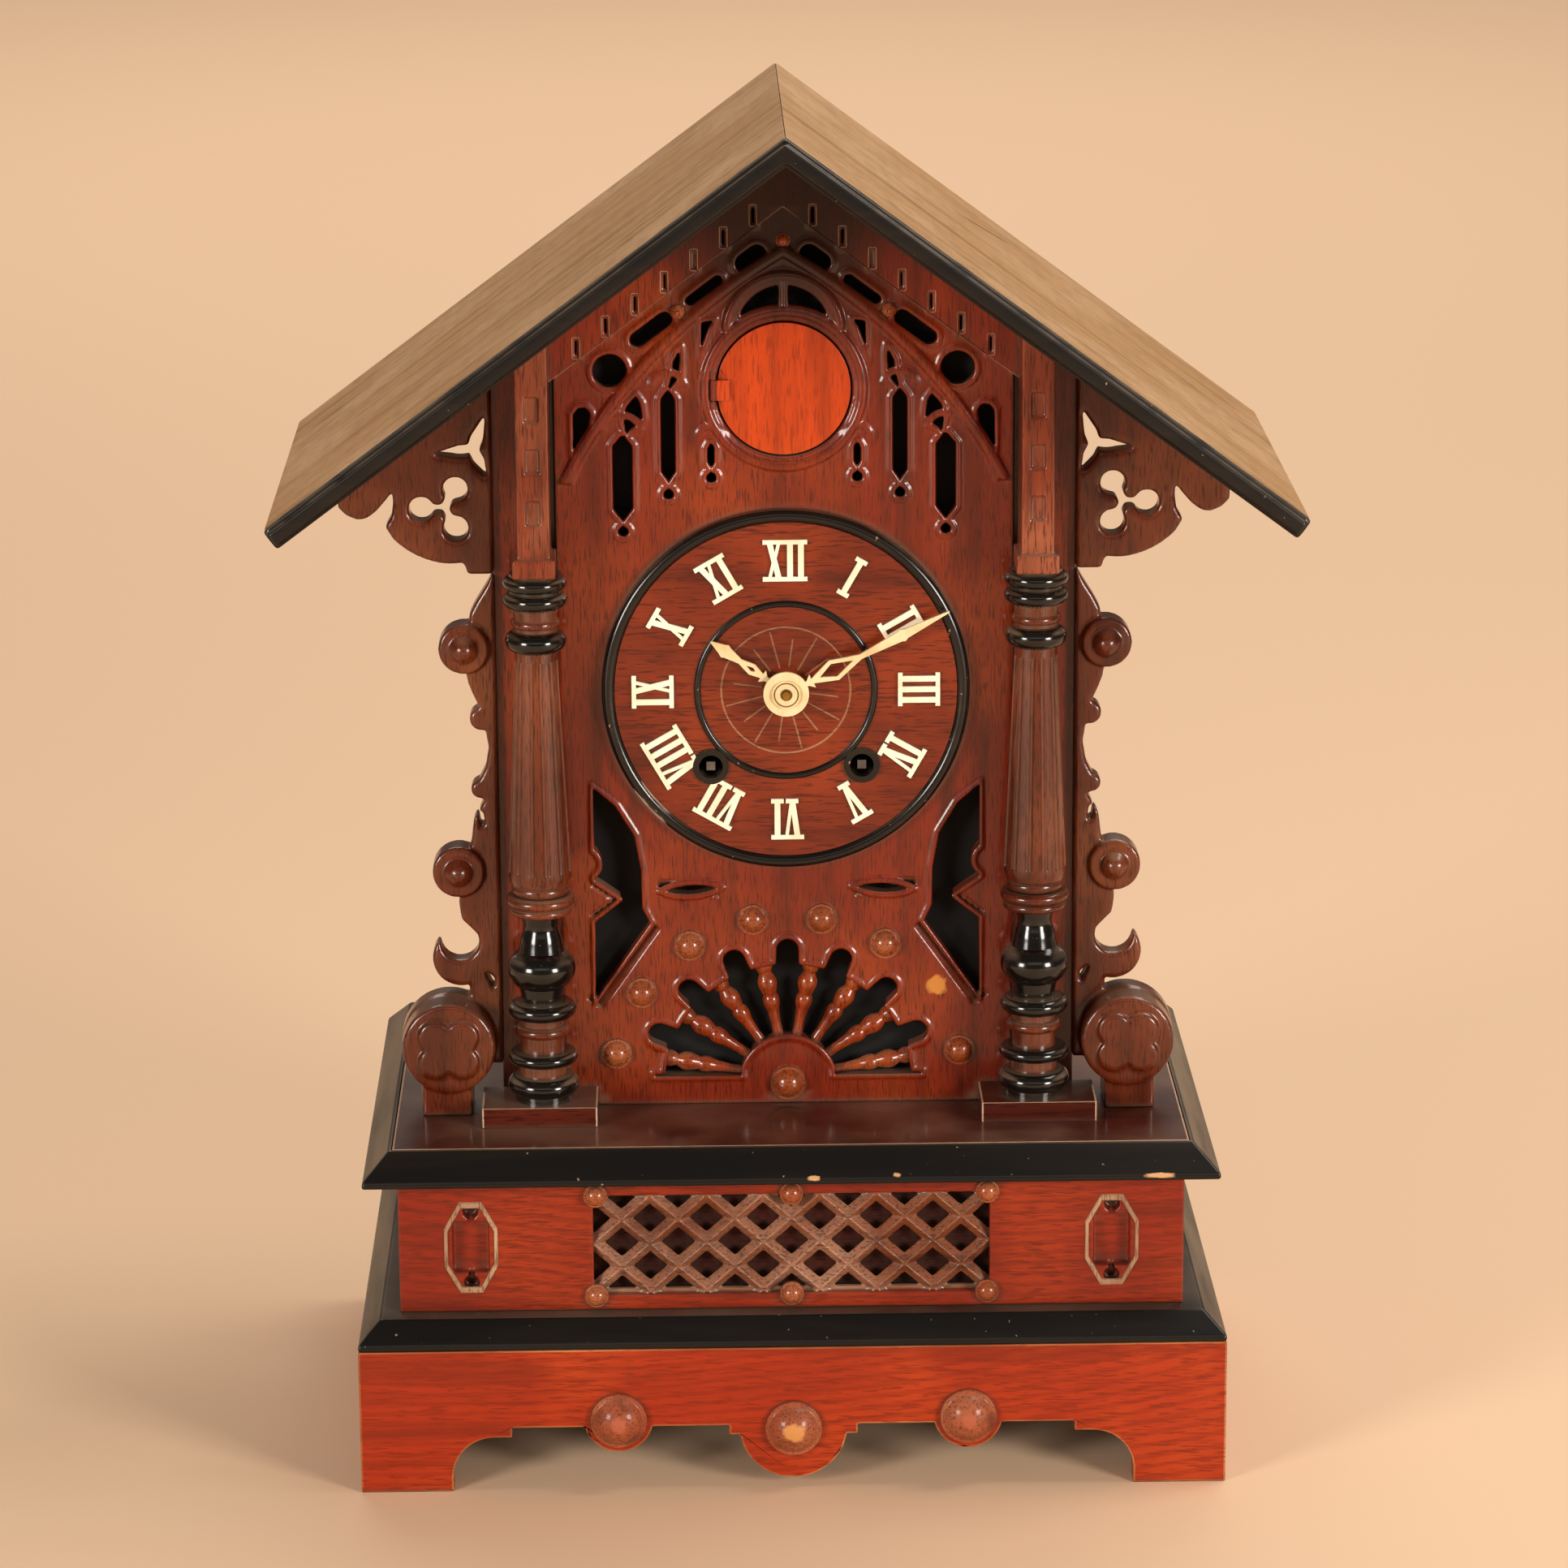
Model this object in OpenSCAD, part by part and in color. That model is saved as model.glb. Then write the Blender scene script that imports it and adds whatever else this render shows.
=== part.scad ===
// Cuckoo mantel clock: a gabled walnut case on a stepped base, with its movement, bird and bellows.
// Millimetres, X to the right, Y to the back, Z up. The origin is on the ground, under the middle.

/* [Plinth] */
// Width of the plinth
plinth_w = 337; // [320:1:354]
// Depth of the plinth
plinth_d = 218; // [212:1:230]
// Height of the plinth
plinth_h = 58; // [50:1:66]
// Thickness of the plinth boards
plinth_board = 10; // [8:0.5:12]
// Width of a foot at the ground
foot_w = 36; // [30:1:42]
// Height of the straight parts of the apron's lower edge
apron_rise = 26; // [22:1:30]
// Radius of the middle lobe of the apron
apron_lobe_r = 21; // [18:0.5:24]
// Radius of the lobes round the outer bosses
side_lobe_r = 13.5; // [12.5:0.5:15]
// Radius of a turned boss
boss_r = 11; // [9:0.5:12]
// How far a boss stands out of the apron
boss_proud = 8; // [6:0.5:10]
// Distance of the outer bosses from the middle
boss_x = 68; // [60:1:76]

/* [Mouldings and base box] */
// Height of the lower black moulding
lower_mould_h = 10.5; // [8:0.5:14]
// How far the lower moulding slopes in
lower_mould_in = 8.5; // [6:0.5:10]
// Width of the base box
box_w = 305; // [296:1:314]
// Set-back of the box front from the plinth front
box_setback = 15.5; // [12:0.5:20]
// Height of the base box
box_h = 55; // [50:1:62]
// Thickness of the box boards
box_board = 9; // [7:0.5:11]
// Width of the lattice
lattice_w = 154; // [147:1:161]
// Height of the lattice
lattice_h = 41; // [38:1:44]
// Number of lattice diamonds side by side
lattice_count = 7; // [6:1:8]
// Width of one lattice strap
strap_w = 4.4; // [3.5:0.1:5.5]
// Thickness of the lattice
lattice_t = 6; // [4:0.5:7]
// Distance of the key-hole recesses from the middle
keyhole_x = 124.5; // [114:0.5:130]
// Width of a key-hole recess
keyhole_w = 14; // [11:0.5:17]
// Height of the square part of a key-hole recess
keyhole_h = 21; // [17:0.5:25]
// Height of the upper black moulding
upper_mould_h = 12.5; // [10:0.5:15]
// How far the upper moulding stands out of the box
upper_mould_out = 13; // [11:0.5:14]
// How far the upper moulding slopes in
upper_mould_in = 10; // [8:0.5:10.5]
// Upright edge at the foot of both mouldings
mould_lip = 2.4; // [1.6:0.2:3.2]

/* [Roof] */
// Half width of the roof at its eave tips
roof_half_w = 195; // [185:1:205]
// Height of the ridge above the deck
ridge_h = 393; // [385:1:401]
// Slope of the roof in degrees
roof_slope = 36.6; // [36.2:0.1:37]
// Thickness of the roof boards
roof_t = 8.5; // [7:0.5:10]
// Width of the black moulding on the front edge of the roof
roof_mould_w = 9; // [7:0.5:12]
// Set-back of the roof front from the front of the bosses
roof_front_gap = 0.7; // [0.5:0.1:3]
// Overhang of the roof behind the case
roof_back_over = 0; // [0:0.5:10]

/* [Case] */
// Width of the case
case_w = 225; // [219:1:230]
// Set-back of the front panel from the plinth front
panel_setback = 66; // [62:0.5:70]
// Depth of the case behind the front panel's face
case_d = 137; // [134:1:142]
// Thickness of the case boards
board = 10; // [8:0.5:11]
// Width of a front stile, beside the front panel
stile_w = 24.5; // [22.5:0.5:26.5]
// Thickness of the front panel
panel_t = 10; // [9:0.5:11]
// How far the front stiles sit behind the panel's face
stile_setback = 4; // [2:0.5:6]
// Radius of the lower corners of the front panel
panel_corner_r = 8; // [4:1:12]
// Width of the back door opening
door_w = 160; // [150:1:166]
// Height of the back door opening
door_h = 250; // [240:1:256]
// Height of the rail under the back door
door_rail_h = 14; // [12:1:20]
// Gap round the back door
door_gap = 0.8; // [0.5:0.1:1.2]
// Radius of the back door's hinge pins
hinge_pin_r = 1.25; // [1:0.05:1.5]

/* [Columns and brackets] */
// Distance of the column axes in from the sides of the case
column_in = 16.5; // [15:0.5:18]
// Distance of the column axes in front of the panel's face
column_out = 14.2; // [13.8:0.1:15]
// Height of the ridge above the tops of the columns
gable_rise = 174; // [170:1:178]
// Width of a column block
block_w = 45; // [41:1:49]
// Height of a column block
block_h = 8; // [6:0.5:10]
// Depth of a column block in front of the panel's face
block_out = 28; // [27.5:0.5:30]
// Width of a corner post
post_w = 12; // [9:0.5:15]
// How far a corner post stands in front of the panel
post_out = 24; // [18:0.5:27]
// Thickness of the eave brackets and side scrolls
bracket_t = 10; // [7:0.5:11]

/* [Dial and hands] */
// Height of the dial centre above the deck
dial_h = 169; // [166:0.5:172]
// Outer radius of the black dial ring
dial_r = 71.3; // [69:0.1:73]
// Width of the black dial ring
dial_ring_w = 5; // [4:0.1:6]
// Thickness of the dial disc
dial_t = 4; // [3:0.5:4.5]
// Radius of the inner black ring
inner_ring_r = 34.3; // [31:0.1:37]
// Height of a numeral
numeral_h = 16; // [13:0.5:18]
// Radius of the circle through the middle of the numerals
numeral_r = 51.5; // [49:0.5:54]
// Length of the minute hand
minute_len = 70.6; // [64:0.2:74]
// Length of the hour hand
hour_len = 35.5; // [32:0.5:39]
// Radius of the hub disc
hub_r = 8.8; // [7.5:0.1:10]
// Position of the minute hand, in minutes
minute_shown = 10.5; // [10:0.1:11]
// Distance of a winding hole from the middle
winding_x = 29.3; // [28.9:0.1:29.7]
// Distance of the winding holes below the dial centre
winding_drop = 30.1; // [29.8:0.1:30.4]

/* [Gable and fan] */
// Height of the cuckoo door's centre above the dial centre
cuckoo_h = 117.5; // [115:0.5:120]
// Radius of the cuckoo door
cuckoo_r = 25.7; // [24:0.1:26.4]
// Gap round the cuckoo door
cuckoo_gap = 0.9; // [0.7:0.1:1.2]
// Thickness of the cuckoo door
cuckoo_t = 3.5; // [3:0.5:4]
// Spacing of the dentil slots
dentil_step = 11.3; // [10.5:0.1:12]
// Height of the raking dentil strip
dentil_band = 25.5; // [24.5:0.5:28]
// Thickness of the dentil strip
dentil_t = 1.5; // [1:0.5:3]
// Radius of the half disc at the foot of the fan
fan_hub_r = 18.5; // [16:0.5:20]
// Radius of the fan's opening
fan_r = 60; // [57:0.5:62]
// Angle between two fan spindles
fan_step = 22.6; // [22:0.1:23]
// Radius of the circle of studs round the fan
stud_ring_r = 68.7; // [67:0.5:71]
// Radius of a fan stud
stud_r = 5.7; // [4.5:0.1:6.2]
// Radius of a lattice stud
small_stud_r = 4.3; // [3.5:0.1:5]

/* [Movement] */
// Thickness of a movement plate
plate_t = 2.5; // [2:0.5:3]
// Half width of the plates
plate_half_w = 68; // [67:0.5:69]
// Height of the plates
plate_h = 150; // [148:1:152]
// Distance between the plates
plate_gap = 53.5; // [53:0.5:54]
// Distance of the front plate behind the front panel
motion_space = 17; // [16.5:0.5:18]
// Radius of the centre arbor
centre_arbor_r = 1.5; // [1.3:0.1:1.6]
// Radius of a small arbor
arbor_r = 1.2; // [1:0.1:1.3]
// Radius of a winding arbor
winding_arbor_r = 2.5; // [2.2:0.1:2.8]
// Radius of a spring barrel
barrel_r = 19.5; // [17:0.5:20]
// Length of a spring barrel
barrel_len = 17; // [15:0.5:17.5]
// Teeth of a great wheel
great_teeth = 84; // [84:1:84]
// Leaves of the pinion that a great wheel drives
great_pinion = 12; // [12:1:12]
// Teeth of the centre wheel
centre_teeth = 96; // [96:1:96]
// Leaves of the third pinion
third_pinion = 8; // [8:1:8]
// Distance from the centre arbor to the third arbor
third_reach = 31.2; // [31:0.1:31.4]
// Teeth of the third wheel
third_teeth = 84; // [84:1:84]
// Leaves of the escape pinion
escape_pinion = 7; // [7:1:7]
// Distance from the third arbor to the escape arbor
escape_reach = 22.75; // [22.6:0.05:22.9]
// Distance between the minute wheel and the hand arbor
motion_reach = 14.4; // [14.2:0.1:14.6]
// Teeth of the escape wheel
escape_teeth = 30; // [30:1:30]
// Radius of the escape wheel
escape_r = 14.5; // [14:0.1:14.8]
// Distance from the escape arbor to the anchor arbor
anchor_rise = 20; // [19.6:0.1:20.4]
// Length from the pendulum's pivot to the bob's centre
pendulum_len = 172; // [165:1:180]
// Radius of the bob
bob_r = 22; // [19:0.5:24]
// Thickness of the bob
bob_t = 9; // [7:0.5:10]
// Radial clearance of arbors in their holes
arbor_fit = 0.05; // [0.03:0.01:0.08]

/* [Bird and sound] */
// Width of a whistle pipe
pipe_w = 24; // [20:1:26]
// Depth of a whistle pipe
pipe_d = 30; // [26:1:34]
// Height of a whistle pipe
pipe_h = 130; // [120:1:136]
// Height of the whistle pipes' feet above the deck
pipe_foot_h = 64; // [60:1:68]
// Length of a bellows
bellows_len = 46; // [42:1:50]
// Height of the bellows' leather fold
bellows_fold = 8; // [6:0.5:10]
// Height of the bird shelf above the deck
shelf_h = 252; // [251:0.5:254]
// Thickness of the bird shelf
shelf_t = 5; // [4:0.5:6]
// Radius of the bird's body
bird_r = 7; // [6:0.2:7.4]
// Length of the bird's body
bird_len = 34; // [30:1:36]
// Swing of the bird arm in degrees
bird_swing = 45; // [43:0.5:46]
// Outer radius of the gong's coil
gong_r = 34; // [32:0.5:35]
// Thickness of the gong's wire
gong_wire = 2.4; // [2:0.1:2.8]
// Number of turns of the gong
gong_turns = 4; // [3:1:5]

/* [Hidden] */
$fn = 64;

walnut = [0.40, 0.15, 0.07];
red_walnut = [0.58, 0.19, 0.07];
dark_walnut = [0.26, 0.11, 0.06];
ebony = [0.04, 0.04, 0.04];
bone = [0.93, 0.85, 0.68];
pale_wood = [0.66, 0.50, 0.34];
door_wood = [0.75, 0.28, 0.08];
brass = [0.78, 0.60, 0.28];
steel = [0.55, 0.56, 0.58];
leather = [0.45, 0.30, 0.18];

// Levels, from the ground up
z_plinth = plinth_h;
z_box = z_plinth + lower_mould_h;
z_box_top = z_box + box_h;
z_deck = z_box_top + upper_mould_h;
z_dial = z_deck + dial_h;
z_cuckoo = z_dial + cuckoo_h;
z_ridge = z_deck + ridge_h;
z_column = z_deck + block_h;
z_post = z_ridge - gable_rise;
column_h = z_post - z_column;

// Depths, from the front back
y_plinth = -(plinth_d + boss_proud) / 2 + boss_proud;
y_plinth_back = y_plinth + plinth_d;
y_box = y_plinth + box_setback;
y_box_back = y_plinth_back - box_setback;
y_panel = y_plinth + panel_setback;
y_panel_back = y_panel + panel_t;
y_stile = y_panel + stile_setback;
y_case_back = y_panel + case_d;
y_roof = y_plinth - boss_proud + roof_front_gap;
y_dial = y_panel - dial_t;
case_inner = case_w / 2 - board;
panel_w = case_w - 2 * stile_w;
column_x = case_w / 2 - column_in;

// Shortest piece of wall that is left beside a cut
web = 1.2;

// Fine joint line between two boards
joint = 0.1;

function under_roof(x) = z_ridge - roof_t / cos(roof_slope) - abs(x) * tan(roof_slope);
function arc(cx, cz, r, from, to, n) = [
  for (i = [0 : n]) [cx + r * cos(from + (to - from) * i / n), cz + r * sin(from + (to - from) * i / n)]
];

// A flat outline in X and Z, made solid from y0 over a depth
module upright(y0, depth) {
  translate([0, y0 + depth, 0])
    rotate([90, 0, 0])
      linear_extrude(depth)
        children();
}

// A round bar along Y
module rod_y(x, z, y0, y1, r) {
  translate([x, y0, z])
    rotate([-90, 0, 0])
      cylinder(h = y1 - y0, r = r);
}

// A turned shape: its profile is drawn as radius and height, and its axis is laid along Y, towards the front
module turned_forward(x, y, z) {
  translate([x, y, z])
    rotate([90, 0, 0])
      rotate_extrude()
        children();
}

module both_sides() {
  children();
  mirror([1, 0, 0])
    children();
}

module slab(x0, x1, y0, y1, z0, z1) {
  translate([x0, y0, z0])
    cube([x1 - x0, y1 - y0, z1 - z0]);
}

// Half a turned button: a quarter round on a thin collar
module button_profile(r, height) {
  collar_h = height * 0.28;
  dome_r = (pow(r * 0.86, 2) + pow(height - collar_h, 2)) / (2 * (height - collar_h));
  square([r, collar_h]);
  intersection() {
    translate([0, collar_h])
      square([r * 0.86, height - collar_h]);
    translate([0, height - dome_r])
      circle(dome_r);
  }
}

// The plinth: apron board with its shaped lower edge, side boards, back board and bosses
boss_step = 4;
toe_step = 7;
z_boss = z_plinth / 2;
foot_curve_r = 16;

module apron_half() {
  half = plinth_w / 2;
  toe = half - foot_w;
  difference() {
    translate([0, 0])
      square([half, z_plinth]);
    difference() {
      union() {
        translate([-1, -1])
          square([toe - foot_curve_r - toe_step + 1, apron_rise + 1]);
        translate([-1, -1])
          square([toe + 1, apron_rise - boss_step + 1]);
      }
      translate([toe, apron_rise - boss_step - foot_curve_r])
        difference() {
          translate([-foot_curve_r, 0])
            square([foot_curve_r + 1, foot_curve_r + 1]);
          translate([-foot_curve_r, 0])
            circle(foot_curve_r);
        }
      translate([0, apron_rise - 1])
        circle(apron_lobe_r);
      translate([-1, apron_rise - boss_step])
        square([apron_lobe_r + boss_step + 1, boss_step + 1]);
      translate([boss_x, z_boss])
        circle(side_lobe_r);
    }
  }
}

module plinth_front() {
  color(red_walnut)
    upright(y_plinth, plinth_board)
      both_sides()
        apron_half();
}

module plinth_frame() {
  color(red_walnut) {
    both_sides()
      slab(plinth_w / 2 - plinth_board, plinth_w / 2, y_plinth + plinth_board, y_plinth_back, 0, z_plinth);
    inner = plinth_w / 2 - plinth_board - joint;
    slab(-inner, inner, y_plinth_back - plinth_board, y_plinth_back, apron_rise, z_plinth);
  }
}

module plinth_bosses() {
  color(walnut)
    for (x = [-boss_x, 0, boss_x])
      turned_forward(x, y_plinth, x == 0 ? z_boss - boss_step : z_boss)
        button_profile(boss_r, boss_proud);
}

// A board with sloping moulded edges: the overlap of two sloped prisms
module moulded_board(half_w, y0, y1, z0, height, slope_in) {
  intersection() {
    upright(y0, y1 - y0)
      polygon([
        [-half_w, z0], [half_w, z0], [half_w, z0 + mould_lip], [half_w - slope_in, z0 + height],
        [-half_w + slope_in, z0 + height], [-half_w, z0 + mould_lip]
      ]);
    translate([-half_w, 0, 0])
      rotate([90, 0, 90])
        linear_extrude(2 * half_w)
          polygon([
            [y0, z0], [y1, z0], [y1, z0 + mould_lip], [y1 - slope_in, z0 + height],
            [y0 + slope_in, z0 + height], [y0, z0 + mould_lip]
          ]);
  }
}

module lower_moulding() {
  color(ebony)
    moulded_board(plinth_w / 2, y_plinth, y_plinth_back, z_plinth, lower_mould_h, lower_mould_in);
}

// The base box: front with blind key-holes and a window for the lattice, sides and back
z_lattice = z_box + box_h / 2 - 1;
keyhole_slit = 2.2;
keyhole_eye_r = 3;
keyhole_depth = 5;

module keyhole() {
  translate([-keyhole_w / 2, -keyhole_h / 2])
    square([keyhole_w, keyhole_h]);
  for (side = [-1, 1]) {
    translate([0, side * (keyhole_h / 2 + keyhole_eye_r + web)])
      circle(keyhole_eye_r);
    translate([-keyhole_slit / 2, side > 0 ? 0 : -keyhole_h / 2 - keyhole_eye_r])
      square([keyhole_slit, keyhole_h / 2 + keyhole_eye_r]);
  }
}

module box_front() {
  color(red_walnut)
    difference() {
      slab(-box_w / 2, box_w / 2, y_box, y_box + box_board, z_box, z_box_top);
      slab(-lattice_w / 2, lattice_w / 2, y_box - 1, y_box + box_board + 1,
        z_lattice - lattice_h / 2, z_lattice + lattice_h / 2);
      both_sides()
        translate([keyhole_x, 0, z_lattice])
          upright(y_box - 1, keyhole_depth + 1)
            keyhole();
    }
}

module box_frame() {
  color(red_walnut) {
    both_sides()
      slab(box_w / 2 - box_board, box_w / 2, y_box + box_board, y_box_back, z_box, z_box_top);
    inner = box_w / 2 - box_board - joint;
    slab(-inner, inner, y_box_back - box_board, y_box_back, z_box, z_box_top);
  }
}

lattice_setback = 1.5;

module lattice_panel() {
  step = lattice_w / lattice_count;
  rise = lattice_h / 2.1;
  lean = atan(rise / step);
  color(walnut)
    translate([0, 0, z_lattice])
      upright(y_box + lattice_setback, lattice_t)
        intersection() {
          square([lattice_w, lattice_h], center = true);
          union() {
            for (i = [-lattice_count : lattice_count], side = [-1, 1])
              translate([(i + (lattice_count % 2) / 2) * step, 0])
                rotate(side * lean)
                  square([3 * lattice_h, strap_w], center = true);
            for (side = [-1, 1])
              translate([0, side * (lattice_h - web) / 2])
                square([lattice_w, web], center = true);
          }
        }
}

deck_half = box_w / 2 + upper_mould_out - upper_mould_in - web;
y_deck = y_box - upper_mould_out + upper_mould_in + web;
y_deck_back = y_box_back + upper_mould_out - upper_mould_in - web;

module upper_moulding() {
  color(ebony)
    difference() {
      moulded_board(box_w / 2 + upper_mould_out, y_box - upper_mould_out, y_box_back + upper_mould_out,
        z_box_top, upper_mould_h, upper_mould_in);
      slab(-deck_half, deck_half, y_deck, y_deck_back, z_box_top - 1, z_deck + 1);
    }
}

module deck_board() {
  color(walnut)
    slab(-deck_half, deck_half, y_deck, y_deck_back, z_box_top, z_deck);
}

// The front panel: all its openings are drawn for the right half and mirrored
z_fan = z_deck + 8.5;
fan_foot = 2;
pane_r = 5.4;
cuckoo_hole_r = cuckoo_r + cuckoo_gap;

drawn_panel_w = 176;
panel_fit = panel_w / drawn_panel_w;

module pane(points) {
  polygon([for (p = points) [p[0] * panel_fit, p[1]]]);
}

module lancet(x, z_eye, z_foot, z_head, half) {
  eye_r = 3.1;
  neck = 1.1;
  translate([x * panel_fit, 0]) {
    translate([0, z_eye])
      circle(eye_r);
    polygon([
      [-neck, z_eye], [neck, z_eye], [neck, z_foot - half], [half, z_foot], [half, z_head - 1],
      [neck, z_head + half * 0.7], [-neck, z_head + half * 0.7], [-half, z_head - 1], [-half, z_foot],
      [-neck, z_foot - half]
    ]);
  }
}

module raking_slot(x, drop, length, width) {
  translate([x * panel_fit, under_roof(x * panel_fit) - drop])
    rotate(-roof_slope) {
      square([length - width, width], center = true);
      for (side = [-1, 1])
        translate([side * (length - width) / 2, 0])
          circle(width / 2);
    }
}

module dentil_slots(end) {
  slot_w = 2.6;
  slot_h = 8;
  for (i = [1 : floor((end - slot_w) / dentil_step)])
    translate([i * dentil_step - slot_w / 2, under_roof(i * dentil_step) - dentil_band + web])
      square([slot_w, slot_h]);
}

module gable_openings() {
  z0 = z_cuckoo;
  translate([66.5 * panel_fit, z0 + 7.8])
    circle(7.6);
  raking_slot(30.2, 35.1, 19, 6);
  raking_slot(50.5, 34.8, 21, 8.2);
  raking_slot(12.2, 36.35, 15, 9.4);
  // Crescent over the door, with the mullion left between its halves
  intersection() {
    difference() {
      translate([0, z0 + 22.2])
        circle(19.1);
      translate([0, z0])
        circle(31.8);
    }
    translate([1.1, z0 + 24])
      square([16, 20]);
  }
  pane([
    [32.1, z0 + 27], [25.4, z0 + 27.8], [27.6, z0 + 23.6], [30.4, z0 + 16], [32.1, z0 + 12.4]
  ]);
  // Outer pane, with its long slope
  pane([
    [81.6, z0 - 36], [81.6, z0 - 8.5], [79.4, z0 - 5.6], [75.6, z0 - 5.2], [73, z0 - 8.2], [73.8, z0 - 14],
    [77.6, z0 - 25]
  ]);
  // Flames over the two long lancets, leaning to the middle
  lancet(62, z0 - 55, z0 - 46.5, z0 - 20, 4.8);
  pane([
    [61.2, z0 - 18.5], [62.4, z0 - 11], [61.2, z0 - 5.5], [56.4, z0 - 0.6], [53.9, z0 - 4.4], [53.1, z0 - 10.6],
    [55, z0 - 14], [58.4, z0 - 16], [60, z0 - 18.5]
  ]);
  lancet(44.4, z0 - 40.6, z0 - 32, z0 - 2, 3.8);
  pane([
    [45.4, z0 - 0.5], [43.9, z0 + 6.4], [43.2, z0 + 11.6], [40.8, z0 + 16.2], [38.8, z0 + 18], [38.5, z0 + 14],
    [38.8, z0 + 5], [41.8, z0 + 1], [43.4, z0 - 0.5]
  ]);
  lancet(28, z0 - 34.2, z0 - 28.4, z0 - 21.5, 2.4);
  dentil_slots(column_x - post_w / 2);
}

module lower_openings() {
  z0 = z_dial;
  ring = dial_r + 4.5;
  // Tall opening beside the dial, with its cusp
  difference() {
    pane([
      [76, z0 - 38], [76, z0 - 77], [65, z0 - 84.6], [76, z0 - 93], [76, z0 - 127.5], [52.6, z0 - 94.5],
      [55.6, z0 - 88], [55.9, z0 - 72.5], [58.5, z0 - 58.5], [66, z0 - 46]
    ]);
    translate([0, z0])
      circle(ring);
    translate([79 * panel_fit, z0 - 70])
      circle(6);
  }
  // Lens under the dial
  intersection() {
    translate([36 * panel_fit, z0 - 109.5])
      circle(31.5);
    translate([39 * panel_fit, z0 - 54.5])
      circle(29.5);
  }
}

module fan_openings() {
  translate([0, z_fan]) {
    intersection() {
      difference() {
        circle(fan_r - pane_r - 5);
        circle(fan_hub_r);
      }
      translate([-fan_r, fan_foot])
        square([2 * fan_r, fan_r]);
    }
    for (i = [-3 : 3])
      rotate(90 + i * fan_step)
        translate([fan_r - pane_r, 0]) {
          circle(pane_r);
          translate([-pane_r - 6, -pane_r])
            square([pane_r + 6, 2 * pane_r]);
        }
    for (side = [-1, 1])
      translate([side * (fan_hub_r + 17), fan_foot + 1.4])
        square([36, 2.8], center = true);
  }
}

module panel_outline() {
  half = panel_w / 2;
  difference() {
    polygon([
      [-half, z_deck], [half, z_deck], [half, under_roof(half)], [0, under_roof(0)], [-half, under_roof(half)]
    ]);
    both_sides()
      translate([half - panel_corner_r, z_deck + panel_corner_r])
        difference() {
          translate([0, -panel_corner_r - 1])
            square([panel_corner_r + 1, panel_corner_r + 1]);
          circle(panel_corner_r);
        }
  }
}

centre_hole_r = 3.9;
bush_r = 7;
bush_bore = 4.6;

module front_panel() {
  color(walnut)
    difference() {
      upright(y_panel, panel_t)
        difference() {
          panel_outline();
          both_sides() {
            gable_openings();
            lower_openings();
          }
          fan_openings();
          translate([0, z_cuckoo])
            circle(cuckoo_hole_r);
        }
      rod_y(0, z_dial, y_panel - 1, y_panel_back + 1, centre_hole_r);
      both_sides()
        rod_y(winding_x, z_dial - winding_drop, y_panel - 1, y_panel_back + 1, bush_r);
    }
}

module front_stiles() {
  color(walnut)
    both_sides()
      upright(y_stile, board)
        polygon([
          [panel_w / 2, z_deck], [case_w / 2, z_deck], [case_w / 2, under_roof(case_w / 2)],
          [panel_w / 2, under_roof(panel_w / 2)]
        ]);
}

// A turned spindle of the fan, from the half disc out to the rim
spindle_end = fan_r - pane_r - 5 - joint;

module spindle_profile() {
  len = spindle_end - fan_hub_r;
  polygon([
    [0, 0], [1.4, 0], [1.2, len * 0.16], [1.7, len * 0.34], [2.6, len * 0.44],
    [2.6, len * 0.5], [1.9, len * 0.55],
    [3.1, len * 0.68], [3.1, len * 0.74], [1.7, len * 0.84], [2.7, len * 0.92], [2.7, len], [0, len]
  ]);
}

module fan_spindles() {
  color(walnut)
    for (i = [-3.5 : 3.5])
      translate([0, y_panel + panel_t / 2, z_fan])
        rotate([0, i * fan_step, 0])
          translate([0, 0, fan_hub_r])
            rotate_extrude($fn = 32)
              spindle_profile();
}

module turned_studs() {
  lost_stud = 2;
  color(walnut) {
    for (i = [-4 : 3])
      if (i != lost_stud)
        let(a = (i + 0.5) * fan_step)
          turned_forward(stud_ring_r * sin(a), y_panel, z_fan + stud_ring_r * cos(a))
          button_profile(stud_r, stud_r);
    turned_forward(0, y_panel, z_fan)
      button_profile(stud_r + 0.8, stud_r);
    turned_forward(0, y_panel, under_roof(0) - 38.4)
      button_profile(2.4, 2.4);
    for (x = [-1, 0, 1], side = [-1, 1])
      turned_forward(x * (lattice_w / 2 - 1), y_box, z_lattice + side * (lattice_h / 2 + 0.4 * side))
        button_profile(small_stud_r, small_stud_r);
  }
}

module gable_frieze() {
  end = column_x - post_w / 2;
  color(walnut)
    upright(y_panel - dentil_t, dentil_t)
      both_sides()
        difference() {
          polygon([
            [0, under_roof(0)], [end, under_roof(end)], [end, under_roof(end) - dentil_band],
            [0, under_roof(0) - dentil_band]
          ]);
          dentil_slots(end);
        }
}

// Corner posts: upper ends of the columns, with a stepped foot and three sunk notches
module corner_posts() {
  foot_h = 7;
  notch = 1.6;
  front = y_panel - post_out;
  color(walnut)
    both_sides()
      difference() {
        union() {
          upright(front, y_stile - front)
            polygon([
              [column_x - post_w / 2, z_post], [column_x + post_w / 2, z_post],
              [column_x + post_w / 2, under_roof(column_x + post_w / 2)],
              [column_x - post_w / 2, under_roof(column_x - post_w / 2)]
            ]);
          slab(column_x - post_w / 2 - 2, column_x + post_w / 2 + 2, front - 2, front + 20,
            z_post, z_post + foot_h);
        }
        for (i = [0 : 2])
          slab(column_x - post_w / 2 + 3, column_x + post_w / 2 - 3, front - 1, front + notch,
            z_post + 20 + i * 20, z_post + 30 + i * 20);
      }
}

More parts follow.
